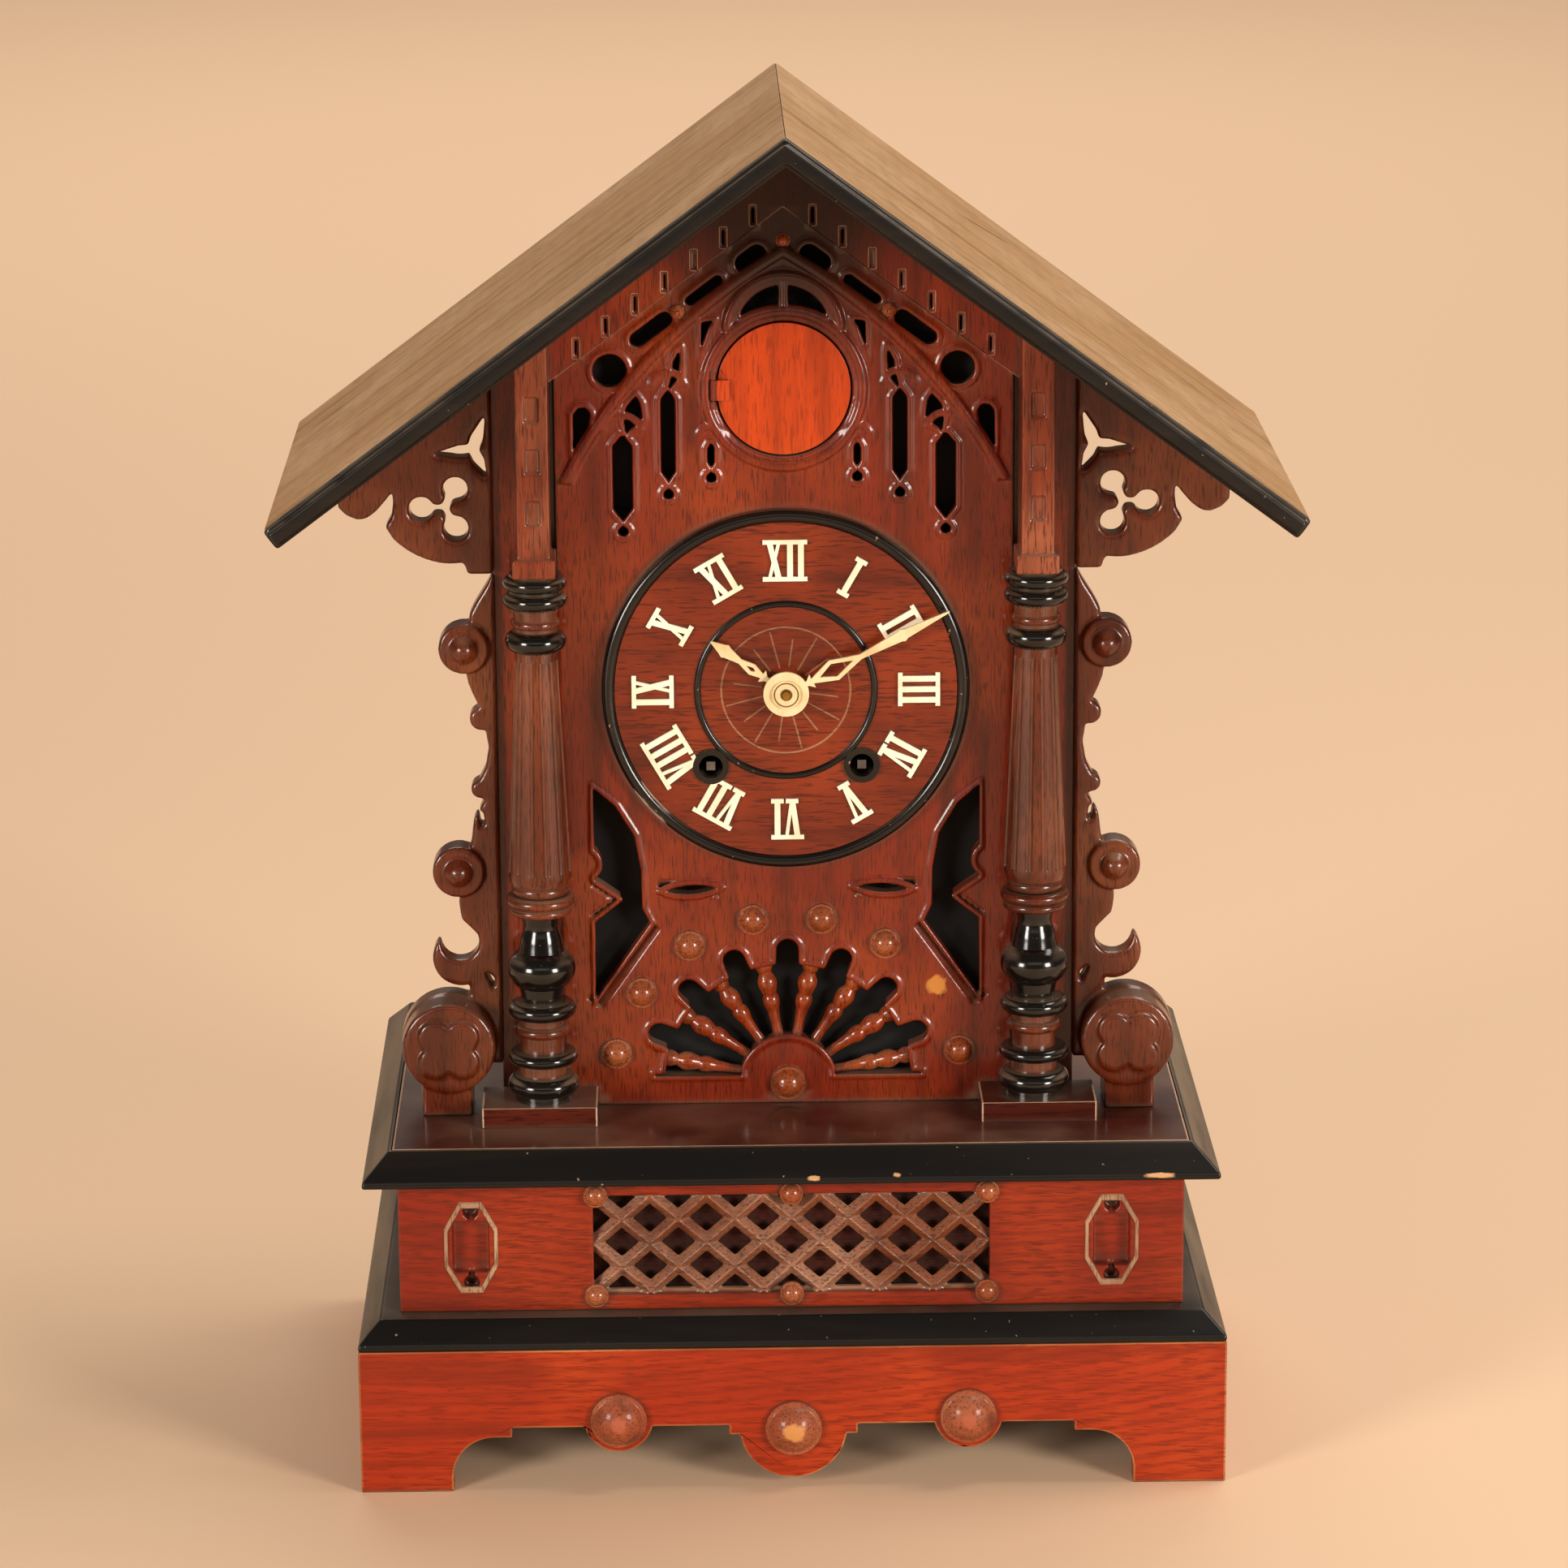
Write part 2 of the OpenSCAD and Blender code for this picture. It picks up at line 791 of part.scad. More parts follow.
// Columns: rings, necks, tapered shaft and vase, as turned between centres
y_column = y_panel - column_out;
drawn_column_h = 211;
column_fit = column_h / drawn_column_h;

module ring_profile(z0, z1, r) {
  edge = (z1 - z0) / 2;
  translate([0, z0])
    square([r - edge, z1 - z0]);
  translate([r - edge, z0 + edge])
    circle(edge);
}

module column_profile() {
  // Base and foot rings
  translate([0, 0])
    square([11.5, 3]);
  ring_profile(2.4, 10.2, 13.9);
  translate([0, 10])
    square([9, 6]);
  ring_profile(15, 20, 13.6);
  translate([0, 20])
    square([8.4, 17]);
  ring_profile(26, 30.5, 10.6);
  ring_profile(33.6, 40, 13.3);
  // Black vase
  polygon(concat(
    [[0, 40], [7.9, 40]], arc(5.1, 53.2, 8.2, -62, 62, 10), [[7.9, 66], [6.6, 70], [7.6, 75.5], [0, 75.5]]
  ));
  ring_profile(75.5, 79, 12.4);
  ring_profile(79, 83.4, 13.55);
  ring_profile(83, 88, 11.2);
  // Shaft
  polygon([[0, 88], [11.6, 88], [12.25, 91], [10.2, 134], [8.1, 180], [0, 180]]);
  ring_profile(180.4, 188.6, 11.85);
  translate([0, 180])
    square([8.4, 18]);
  ring_profile(189.4, 193.6, 9.4);
  ring_profile(197.6, 203.6, 12.4);
  ring_profile(204.4, 210, 12.4);
  translate([0, 197])
    square([10, drawn_column_h - 197]);
}

module columns() {
  flutes = 12;
  color(walnut)
    both_sides()
      translate([column_x, y_column, z_column])
        scale([1, 1, column_fit])
          difference() {
            rotate_extrude()
              column_profile();
            for (i = [0 : flutes - 1])
              rotate([0, 0, (i + 0.5) * 360 / flutes])
                translate([12.9, 0, 93])
                  rotate([0, -2.55, 0])
                    cylinder(h = 84, r = 1.7, $fn = 24);
          }
}

module column_blocks() {
  color(walnut)
    both_sides()
      slab(column_x + 1.5 - block_w / 2, column_x + 1.5 + block_w / 2, y_panel - block_out, y_panel,
        z_deck, z_column);
}

// Pierced brackets under the eaves
module star_hole() {
  for (ray = [[110, 15], [-5, 16], [244, 12.5]])
    rotate(ray[0])
      polygon([[-1.6, -2.4], [5, -2.8], [ray[1], -0.3], [ray[1], 0.3], [5, 2.8], [-1.6, 2.4]]);
}

module trefoil_hole(reach, r) {
  for (a = [0, 120, 240])
    rotate(a) {
      translate([reach, 0])
        circle(r);
      translate([0, -1.9])
        square([reach, 3.8]);
    }
}

module eave_bracket() {
  x0 = case_w / 2;
  z0 = z_post - 3.5;
  tip = x0 + 58.5;
  difference() {
    polygon(concat(
      [[x0, under_roof(x0)], [tip, under_roof(tip)], [tip, z0 + 26.6], [tip - 3, z0 + 23.6],
        [tip - 7, z0 + 21.8],
        [tip - 10.5, z0 + 22.4], [tip - 14, z0 + 25], [tip - 18, z0 + 29.6], [tip - 21, z0 + 33.6],
        [tip - 21.2, z0 + 28], [tip - 20.4, z0 + 22.6], [tip - 18, z0 + 18.6]],
      arc(x0 + 14, z0 + 37, 33, -44, -84, 8),
      [[x0 + 14, z0 + 4.2], [x0 + 11.4, z0 + 4.8], [x0 + 10, z0 + 2.6], [x0 + 9.6, z0], [x0, z0]]
    ));
    translate([x0 + 6.8, z0 + 48.2])
      star_hole();
    translate([x0 + 18.2, z0 + 25.4])
      trefoil_hole(8.8, 5.2);
  }
}

module eave_brackets() {
  color(walnut)
    both_sides()
      upright(y_panel, bracket_t)
        eave_bracket();
}

// Side scrolls: two volutes with buttons, hooks, and a rosette block on the deck
rosette_proud = 14;
volute_proud = 2.4;
volute_button_r = 5;

module side_scroll_outline() {
  x0 = case_w / 2;
  difference() {
    union() {
      polygon([
        [x0, 215], [x0 + 2, 211], [x0 + 7, 203], [x0 + 9, 199], [x0 + 11, 177],
        [x0 + 10, 172], [x0 + 8.5, 168], [x0 + 6, 162.5], [x0 + 4, 155],
        [x0 + 2.6, 146], [x0 + 4, 138], [x0 + 8.6, 128.6], [x0 + 4.6, 125],
        [x0 + 9, 117], [x0 + 10, 108.6], [x0 + 15.5, 84], [x0 + 14.6, 77],
        [x0 + 12, 74.5], [x0, 62]
      ]);
      translate([x0 + 11.8, 186])
        circle(9.4);
      translate([x0 + 5.6, 157.6])
        circle(4.2);
      translate([x0 + 6.6, 129.4])
        circle(3.2);
      translate([x0 + 6.6, 109])
        circle(3.4);
      translate([x0 + 15.6, 96.6])
        circle(9.8);
      // Upturned tip over the rosette
      difference() {
        union() {
          translate([x0 + 15.4, 60.8])
            circle(10.8);
          translate([x0, 42])
            square([12, 38]);
        }
        translate([x0 + 15.8, 67.6])
          circle(7.9);
        translate([x0 + 4.8, 52])
          polygon([[-2.6, -6], [2.4, 5], [-2.6, 1]]);
      }
      translate([x0 + 12, 0])
        square([19, 14]);
      translate([x0 + 20.5, 28])
        circle(18.4);
      square_to_case = 8;
      translate([x0, 18])
        square([square_to_case, 26]);
    }
    translate([x0 + 6.2, 117.6])
      rotate(-8)
        square([2.6, 6.4], center = true);
  }
}

module quatrefoil(reach, r) {
  for (a = [45 : 90 : 315])
    rotate(a)
      translate([reach, 0])
        circle(r);
  circle(reach);
}

module volute(x, z, r) {
  rod_y(x, z, y_panel - volute_proud, y_panel, r);
  turned_forward(x, y_panel - volute_proud, z)
    button_profile(volute_button_r, volute_button_r);
}

module side_scrolls() {
  x0 = case_w / 2;
  color(walnut)
    both_sides() {
      upright(y_panel, bracket_t)
        translate([0, z_deck])
          scale([1, column_fit])
            side_scroll_outline();
      volute(x0 + 11.8, z_deck + 186 * column_fit, 9.4);
      volute(x0 + 15.6, z_deck + 96.6 * column_fit, 9.8);
      translate([x0 + 20.5, 0, z_deck + 28 * column_fit]) {
        upright(y_panel - rosette_proud, rosette_proud)
          circle(17.8);
        upright(y_panel - rosette_proud - 2, 2)
          quatrefoil(7.4, 6.2);
      }
      slab(x0 + 12, x0 + 31, y_panel - rosette_proud + 2, y_panel, z_deck, z_deck + 14);
    }
}

// Dial disc, rings, bushes and numerals
module dial_plate() {
  color(walnut)
    difference() {
      rod_y(0, z_dial, y_dial, y_panel, dial_r - dial_ring_w);
      rod_y(0, z_dial, y_dial - 1, y_panel + 1, centre_hole_r);
      both_sides()
        rod_y(winding_x, z_dial - winding_drop, y_dial - 1, y_panel + 1, bush_r);
    }
}

module dial_rings() {
  half = dial_ring_w / 2;
  inner_half = 1.3;
  bush_proud = 1.2;
  color(ebony) {
    turned_forward(0, y_panel, z_dial)
      union() {
        translate([dial_r - dial_ring_w, 0])
          square([dial_ring_w, dial_t - 1]);
        translate([dial_r - half, dial_t - 1])
          circle(half);
      }
    difference() {
      turned_forward(0, y_dial, z_dial)
        intersection() {
          translate([inner_ring_r, 0])
            circle(inner_half);
          translate([inner_ring_r - inner_half, 0])
            square(2 * inner_half);
        }
      both_sides()
        rod_y(winding_x, z_dial - winding_drop, y_dial - 3, y_dial + 1, bush_r);
    }
    both_sides()
      difference() {
        rod_y(winding_x, z_dial - winding_drop, y_dial - bush_proud, y_panel_back, bush_r);
        rod_y(winding_x, z_dial - winding_drop, y_dial - bush_proud - 1, y_panel_back + 1, bush_bore);
      }
  }
}

// Roman numerals, cut from bone: each stroke is a bar with flared feet
stroke_w = 2.1;
serif_w = 4.6;
serif_h = 1.5;

module stroke(x_low, x_high, weight) {
  h = numeral_h / 2;
  polygon([
    [x_low - weight / 2, -h], [x_low + weight / 2, -h], [x_high + weight / 2, h], [x_high - weight / 2, h]
  ]);
  translate([x_low, -h + serif_h / 2])
    square([serif_w, serif_h], center = true);
  translate([x_high, h - serif_h / 2])
    square([serif_w, serif_h], center = true);
}

function glyph_w(c) = c == "I" ? 4.2 : (c == "V" ? 7.2 : 8);
function sum_w(word, n) = n == 0 ? 0 : glyph_w(word[n - 1]) + sum_w(word, n - 1);

module glyph(c) {
  thin = stroke_w * 0.55;
  if (c == "I")
    stroke(0, 0, stroke_w);
  if (c == "V") {
    stroke(0, -2.2, stroke_w);
    stroke(0, 2.2, thin);
  }
  if (c == "X") {
    stroke(2, -2, stroke_w);
    stroke(-2, 2, thin);
  }
}

module dial_numerals() {
  words = ["XII", "I", "II", "III", "IV", "V", "VI", "VII", "VIII", "IX", "X", "XI"];
  color(bone)
    difference() {
      upright(y_dial - 1, 1)
        translate([0, z_dial])
          for (i = [0 : 11])
            rotate(-30 * i)
              translate([0, numeral_r])
                for (k = [0 : len(words[i]) - 1])
                  translate([sum_w(words[i], k) + glyph_w(words[i][k]) / 2
                    - sum_w(words[i], len(words[i])) / 2, 0])
                    glyph(words[i][k]);
      both_sides()
        rod_y(winding_x, z_dial - winding_drop, y_dial - 2, y_dial + 1, bush_r + joint);
    }
}

// Roof boards and the black moulding along their front edges
module roof_half(t_low, t_high) {
  x_low = roof_half_w - t_low * sin(roof_slope);
  x_high = roof_half_w - t_high * sin(roof_slope);
  z_low = z_ridge - t_low / cos(roof_slope);
  z_high = z_ridge - t_high / cos(roof_slope);
  polygon([
    [0, z_low], [x_low, z_low - x_low * tan(roof_slope)],
    [x_high, z_high - x_high * tan(roof_slope)], [0, z_high]
  ]);
}

module roof_board_right() {
  color(pale_wood)
    upright(y_roof + roof_mould_w, y_case_back + roof_back_over - y_roof - roof_mould_w)
      roof_half(roof_t, 0);
}

module roof_board_left() {
  mirror([1, 0, 0])
    roof_board_right();
}

module roof_band(inset) {
  x_end = roof_half_w - inset * cos(roof_slope);
  x_low = x_end - (roof_t - inset) * sin(roof_slope);
  x_high = x_end - inset * sin(roof_slope);
  z_low = z_ridge - (roof_t - inset) / cos(roof_slope);
  z_high = z_ridge - inset / cos(roof_slope);
  polygon([
    [0, z_low], [x_low, z_low - x_low * tan(roof_slope)],
    [x_high, z_high - x_high * tan(roof_slope)], [0, z_high],
    [-x_high, z_high - x_high * tan(roof_slope)], [-x_low, z_low - x_low * tan(roof_slope)]
  ]);
}

module roof_moulding() {
  nose = roof_mould_w / 3;
  color(ebony) {
    upright(y_roof + nose, roof_mould_w - nose)
      roof_band(0);
    upright(y_roof, nose)
      roof_band(roof_t * 0.16);
  }
}

// Case boards behind the front
module case_sides() {
  color(walnut)
    both_sides()
      upright(y_stile + board, y_case_back - y_stile - board)
        polygon([
          [case_inner, z_deck], [case_w / 2, z_deck], [case_w / 2, under_roof(case_w / 2)],
          [case_inner, under_roof(case_inner)]
        ]);
}

y_back = y_case_back - board;
z_door = z_deck + door_rail_h;

module case_back() {
  z_top = z_door + door_h;
  color(walnut)
    upright(y_back, board) {
      both_sides()
        translate([door_w / 2, z_deck])
          square([case_inner - door_w / 2, z_top - z_deck - joint]);
      translate([-door_w / 2 + joint, z_deck])
        square([door_w - 2 * joint, door_rail_h]);
      polygon([
        [-case_inner, z_top], [case_inner, z_top], [case_inner, under_roof(case_inner)], [0, under_roof(0)],
        [-case_inner, under_roof(case_inner)]
      ]);
    }
}

hinge_z = [z_door + 40, z_door + door_h - 40];
hinge_len = 30;
leaf_t = 1.2;
knuckle_r = hinge_pin_r + 1.4;
y_hinge = y_case_back + knuckle_r + 0.3;
hinge_leaf_w = 14;

module back_door() {
  half = door_w / 2 - door_gap;
  z_latch = z_door + door_h / 2;
  color(walnut) {
    difference() {
      slab(-half, half, y_back, y_case_back, z_door + door_gap, z_door + door_h - door_gap);
      for (i = [-2 : 2])
        rod_y(i * 14, z_cuckoo - 48, y_back - 1, y_case_back + 1, 3);
    }
    rod_y(half - 14, z_latch, y_case_back, y_case_back + 9, 5);
  }
  color(brass)
    for (z = hinge_z)
      difference() {
        union() {
          slab(-half, -half + hinge_leaf_w, y_case_back, y_case_back + leaf_t,
            z - hinge_len / 6, z + hinge_len / 6);
          slab(-door_w / 2, -half + 1, y_case_back + 0.3, y_case_back + leaf_t + 0.3,
            z - hinge_len / 6, z + hinge_len / 6);
          translate([-door_w / 2, y_hinge, z - hinge_len / 6])
            cylinder(h = hinge_len / 3, r = knuckle_r);
        }
        translate([-door_w / 2, y_hinge, z - hinge_len])
          cylinder(h = 2 * hinge_len, r = hinge_pin_r + arbor_fit);
      }
}

button_len = 26;
button_w = 9;
button_t = 5;
button_lift = 0.3;
screw_r = 1.5;
screw_head_r = 2.8;
z_button = z_door + door_h / 2 + 40;
button_x = door_w / 2 + 6;

// Hinges of the back door, and the screw that holds its turning button
module door_fittings() {
  gap = 0.3;
  y_head = y_case_back + 2 * button_lift + button_t;
  color(brass) {
    rod_y(button_x, z_button, y_case_back, y_head + 1, screw_r);
    rod_y(button_x, z_button, y_head, y_head + 1, screw_head_r);
    for (z = hinge_z) {
      for (side = [-1, 1])
        translate([0, 0, z + side * hinge_len / 3]) {
          slab(-door_w / 2 - hinge_leaf_w, -door_w / 2, y_case_back, y_case_back + leaf_t,
            -hinge_len / 6 + gap, hinge_len / 6 - gap);
          translate([-door_w / 2, y_hinge, -hinge_len / 6 + gap])
            cylinder(h = hinge_len / 3 - 2 * gap, r = knuckle_r);
        }
      translate([-door_w / 2, y_hinge, z - hinge_len / 2])
        cylinder(h = hinge_len, r = hinge_pin_r);
    }
  }
}

module door_button() {
  color(dark_walnut)
    difference() {
      translate([button_x, 0, z_button])
        upright(y_case_back + button_lift, button_t) {
          square([button_w, button_len - button_w], center = true);
          for (side = [-1, 1])
            translate([0, side * (button_len - button_w) / 2])
              circle(button_w / 2);
        }
      rod_y(button_x, z_button, y_case_back, y_case_back + button_t + 1, screw_r + arbor_fit);
    }
}

// Cuckoo door and its pin
door_pin_r = 0.5;
door_knuckle_r = 1.1;
door_pin_x = -cuckoo_hole_r - 0.4;
y_door = y_panel + 0.6;
y_door_pin = y_panel - door_knuckle_r - 0.3;
door_knuckle_len = 8;

module cuckoo_door() {
  low = z_cuckoo - door_knuckle_len / 2;
  high = z_cuckoo + door_knuckle_len / 2;
  strap_len = 6;
  color(door_wood) {
    rod_y(0, z_cuckoo, y_door, y_door + cuckoo_t, cuckoo_r);
    difference() {
      union() {
        translate([door_pin_x, y_door_pin, low])
          cylinder(h = door_knuckle_len, r = door_knuckle_r, $fn = 32);
        slab(door_pin_x, door_pin_x + strap_len, y_door_pin - 0.5, y_door_pin + door_knuckle_r, low, high);
        slab(door_pin_x + strap_len / 2, door_pin_x + strap_len, y_door_pin, y_door + 0.5, low, high);
      }
      translate([door_pin_x, y_door_pin, z_cuckoo - door_knuckle_len])
        cylinder(h = 2 * door_knuckle_len, r = door_pin_r + arbor_fit, $fn = 32);
    }
  }
}

module cuckoo_door_pin() {
  gap = 0.3;
  ear = 3;
  plate_len = 5;
  color(brass) {
    translate([door_pin_x, y_door_pin, z_cuckoo - door_knuckle_len / 2 - gap - ear])
      cylinder(h = door_knuckle_len + 2 * (gap + ear), r = door_pin_r, $fn = 32);
    for (side = [-1, 1])
      translate([0, 0, z_cuckoo + side * (door_knuckle_len / 2 + gap + ear / 2)]) {
        translate([door_pin_x, y_door_pin, -ear / 2])
          cylinder(h = ear, r = door_knuckle_r, $fn = 32);
        slab(door_pin_x - plate_len, door_pin_x, y_door_pin, y_panel, -ear / 2, ear / 2);
      }
  }
}

// Bird shelf, bracket, arm and bird
z_shelf = z_deck + shelf_h;
bird_x = -60;
y_bird = y_panel_back + 24;
bird_pin_r = 1.25;
lug_t = 3;
z_lug_low = z_shelf + shelf_t + 4;
z_lug_high = z_cuckoo + 24;
y_bird_out = y_panel - 11;
bird_out_x = -6.4;

module bird_shelf() {
  color(pale_wood)
    slab(-case_inner, case_inner, y_stile + board, y_bird + 52, z_shelf, z_shelf + shelf_t);
}

module bird_bracket() {
  half = 5;
  back_y = y_bird + 6;
  bar_t = 2;
  foot_len = 12;
  z0 = z_shelf + shelf_t;
  color(brass)
    difference() {
      union() {
        slab(bird_x - half, bird_x + half, back_y, back_y + bar_t, z0, z_lug_high + lug_t);
        slab(bird_x - half, bird_x + half, back_y, back_y + foot_len, z0, z0 + bar_t);
        for (z = [z_lug_low, z_lug_high]) {
          slab(bird_x - half, bird_x + half, y_bird, back_y, z, z + lug_t);
          translate([bird_x, y_bird, z])
            cylinder(h = lug_t, r = half);
        }
      }
      translate([bird_x, y_bird, z_lug_low - 1])
        cylinder(h = z_lug_high - z_lug_low + lug_t + 2, r = bird_pin_r + arbor_fit);
    }
}

// Places a shape that is drawn with the bird fully out, back at rest inside the case
module at_rest() {
  translate([bird_x, y_bird, 0])
    rotate([0, 0, bird_swing])
      translate([-bird_x, -y_bird, 0])
        children();
}

bird_tail_y = y_bird_out + bird_len / 2;
z_bird = z_cuckoo - 2;
arm_w = 2.6;

module bird_arm() {
  collar = 2.6;
  corner_y = y_panel + 20;
  color(steel)
    at_rest() {
      translate([bird_x, y_bird, z_lug_low - 3])
        cylinder(h = z_lug_high - z_lug_low + lug_t + 6, r = bird_pin_r);
      translate([bird_x, y_bird, z_lug_low + lug_t + 0.3])
        cylinder(h = z_lug_high - z_lug_low - lug_t - 0.6, r = collar);
      slab(bird_out_x - arm_w / 2, bird_out_x + arm_w / 2, bird_tail_y, corner_y + arm_w,
        z_bird - arm_w / 2, z_bird + arm_w / 2);
      translate([bird_x, y_bird, z_bird - arm_w / 2])
        rotate([0, 0, atan2(corner_y - y_bird, bird_out_x - bird_x)])
          translate([0, -arm_w / 2, 0])
            cube([sqrt(pow(corner_y - y_bird, 2) + pow(bird_out_x - bird_x, 2)) + arm_w / 2, arm_w, arm_w]);
    }
}

module cuckoo_bird() {
  head_r = bird_r * 0.76;
  color(dark_walnut)
    at_rest()
      translate([bird_out_x, bird_tail_y, z_bird])
        rotate([90, 0, 0]) {
          rotate_extrude()
            polygon(concat(
              [[0, 0], [bird_r * 0.35, 0]],
              [for (t = [1 : 9])
                [bird_r * pow(sin(180 * (0.08 + 0.92 * t / 10) * 0.98), 0.7), bird_len * t / 10]],
              [[0, bird_len]]
            ));
          translate([0, bird_r * 0.7, bird_len * 0.86])
            sphere(head_r);
          translate([0, bird_r * 0.62, bird_len * 0.86 + head_r * 0.8])
            cylinder(h = head_r * 1.25, r1 = head_r * 0.36, r2 = head_r * 0.08);
          translate([-bird_r * 0.55, arm_w / 2 + joint, -bird_len * 0.16])
            cube([bird_r * 1.1, bird_r * 0.3, bird_len * 0.4]);
          for (side = [-1, 1])
            translate([side * bird_r * 0.86 - 0.7, -bird_r * 0.3, bird_len * 0.12])
              cube([1.4, bird_r * 0.9, bird_len * 0.56]);
        }
}

// Hands, drawn upright and turned to the time shown
y_hour_hand = y_dial - 4;
y_minute_hand = y_hour_hand - 3;
hand_t = 1.4;
pipe_r = centre_arbor_r + 1;
hour_pipe_r = pipe_r + 0.9;

module open_leaf(z0, z1, half, wall) {
  mid = z0 + (z1 - z0) * 0.45;
  difference() {
    polygon([[0.9, z0], [half, mid], [0.9, z1], [-0.9, z1], [-half, mid], [-0.9, z0]]);
    polygon([[0, z0 + 2.2 * wall], [half - wall, mid], [0, z1 - 2.2 * wall], [-half + wall, mid]]);
  }
}

module hand(length, bow, leaf_from, leaf_half) {
  barb = 2.8;
  barb_top = hub_r + 2.6;
  polygon([
    [-1, hub_r / 2], [1, hub_r / 2], [1, barb_top - 2], [barb, barb_top], [1, barb_top], [1, barb_top + 0.8],
    [-1, barb_top + 0.8], [-1, barb_top], [-barb, barb_top], [-1, barb_top - 2]
  ]);
  open_leaf(hub_r + 2.4, bow, length * 0.055 + 0.4, 1.5);
  polygon([
    [-0.9, bow - 1], [0.9, bow - 1], [leaf_half, leaf_from], [leaf_half * 1.25, leaf_from + 1],
    [leaf_half * 0.9, leaf_from + 2.6],
    [0.3, length], [-0.3, length], [-leaf_half * 0.9, leaf_from + 2.6], [-leaf_half * 1.25, leaf_from + 1],
    [-leaf_half, leaf_from]
  ]);
}

module minute_hand() {
  disc_t = 1;
  color(bone)
    difference() {
      union() {
        upright(y_minute_hand, hand_t)
          translate([0, z_dial])
            rotate(-6 * minute_shown) {
              circle(hub_r);
              hand(minute_len, minute_len * 0.46, minute_len * 0.7, 2);
            }
        rod_y(0, z_dial, y_minute_hand - disc_t, y_minute_hand, hub_r * 0.62);
      }
      rod_y(0, z_dial, y_minute_hand - 2 * disc_t, y_minute_hand + hand_t + 1, centre_arbor_r + 0.3);
    }
}

module hour_hand() {
  color(bone)
    difference() {
      upright(y_hour_hand, hand_t)
        translate([0, z_dial])
          rotate(-30 * (10 + minute_shown / 60)) {
            circle(hub_r * 0.8);
            hand(hour_len, hour_len * 0.62, hour_len * 0.78, 2.3);
          }
      rod_y(0, z_dial, y_hour_hand - 1, y_hour_hand + hand_t + 1, hour_pipe_r);
    }
}

// Gears: a tooth is a trapezoid, thinner than half the pitch to leave running play
function gear_points(teeth, module_mm, tooth_angle, head, foot) = [
  for (i = [0 : teeth - 1], k = [0 : 3])
    let (
      rp = teeth * module_mm / 2,
      half = 180 / teeth,
      at = tooth_angle + i * 2 * half + half * [-0.47, -0.2, 0.2, 0.47][k],
      r = (k == 0 || k == 3) ? rp - foot * module_mm : rp + head * module_mm
    )
    [r * cos(at), r * sin(at)]
];

module wheel_gear(x, z, y0, depth, teeth, module_mm, tooth_angle, hub) {
  rp = teeth * module_mm / 2;
  rim = rp - 3.2 * module_mm - 1;
  translate([x, 0, z])
    upright(y0, depth) {
      difference() {
        polygon(gear_points(teeth, module_mm, tooth_angle, 0.8, 1.2));
        circle(rim);
      }
      for (a = [0 : 72 : 288])
        rotate(a + tooth_angle)
          translate([0, -rp * 0.06 - 0.4])
            square([rim + 0.4, rp * 0.12 + 0.8]);
      circle(hub);
    }
}

module pinion_gear(x, z, y0, depth, leaves, module_mm, leaf_angle) {
  translate([x, 0, z])
    upright(y0, depth)
      polygon(gear_points(leaves, module_mm, leaf_angle, 0.65, 1.25));
}

function gap_angle(towards, teeth) = towards + 180 + 180 / teeth;

// Arbor places, from the centre distances
reach_angle = 115;
z_wind = z_dial - winding_drop;
great_reach = sqrt(pow(winding_x, 2) + pow(winding_drop, 2));
great_module = 2 * great_reach / (great_teeth + great_pinion);
third_x = third_reach * cos(reach_angle);
z_third = z_dial + third_reach * sin(reach_angle);
centre_module = 2 * third_reach / (centre_teeth + third_pinion);
z_escape = z_third + sqrt(pow(escape_reach, 2) - pow(third_x, 2));
third_module = 2 * escape_reach / (third_teeth + escape_pinion);
z_anchor = z_escape + anchor_rise;
cannon_leaves = 12;
minute_teeth = 36;
minute_leaves = 10;
hour_teeth = 40;
cannon_module = 2 * motion_reach / (cannon_leaves + minute_teeth);
hour_module = 2 * motion_reach / (minute_leaves + hour_teeth);
pin_angle = 112;
pin_x = -winding_x + great_reach * cos(pin_angle);
z_pin = z_wind + great_reach * sin(pin_angle);
great_angle = atan2(winding_drop, -winding_x);
third_angle = atan2(z_escape - z_third, -third_x);

// Depths of the movement, behind the front panel
y_front_plate = y_panel_back + motion_space;
y_inside = y_front_plate + plate_t;
y_back_plate = y_inside + plate_gap;
y_movement = y_back_plate + plate_t;
z_plate = z_dial - 69;
pillar_r = 3.5;
pillar_x = plate_half_w - 8;
pillar_z = [z_plate + 8, z_plate + plate_h - 8];
great_y = y_inside + 2;
great_t = 2.5;
y_going_drum = great_y + great_t;
y_strike_wheel = y_back_plate - 3.5 - great_t;
y_centre_wheel = (y_going_drum + barrel_len + y_strike_wheel - barrel_len) / 2 - 0.9;
centre_t = 1.8;
y_third_wheel = y_centre_wheel + 10.5;
y_escape_wheel = y_back_plate - 10;
train_t = 1.6;
y_cannon = y_front_plate - 7.5;
y_hour_wheel = y_front_plate - 13.5;
y_crutch = y_movement + 4;
y_rod = y_movement + 8.5;
ratchet_r = 9;
ratchet_t = 1.6;
y_ratchet = y_front_plate - 3.4;

module arbor_holes(y0, y1) {
  both_sides()
    rod_y(winding_x, z_wind, y0, y1, winding_arbor_r + arbor_fit);
  rod_y(third_x, z_third, y0, y1, arbor_r + arbor_fit);
  rod_y(0, z_escape, y0, y1, arbor_r + arbor_fit);
  rod_y(0, z_anchor, y0, y1, arbor_r + arbor_fit);
  rod_y(pin_x, z_pin, y0, y1, arbor_r + arbor_fit);
}

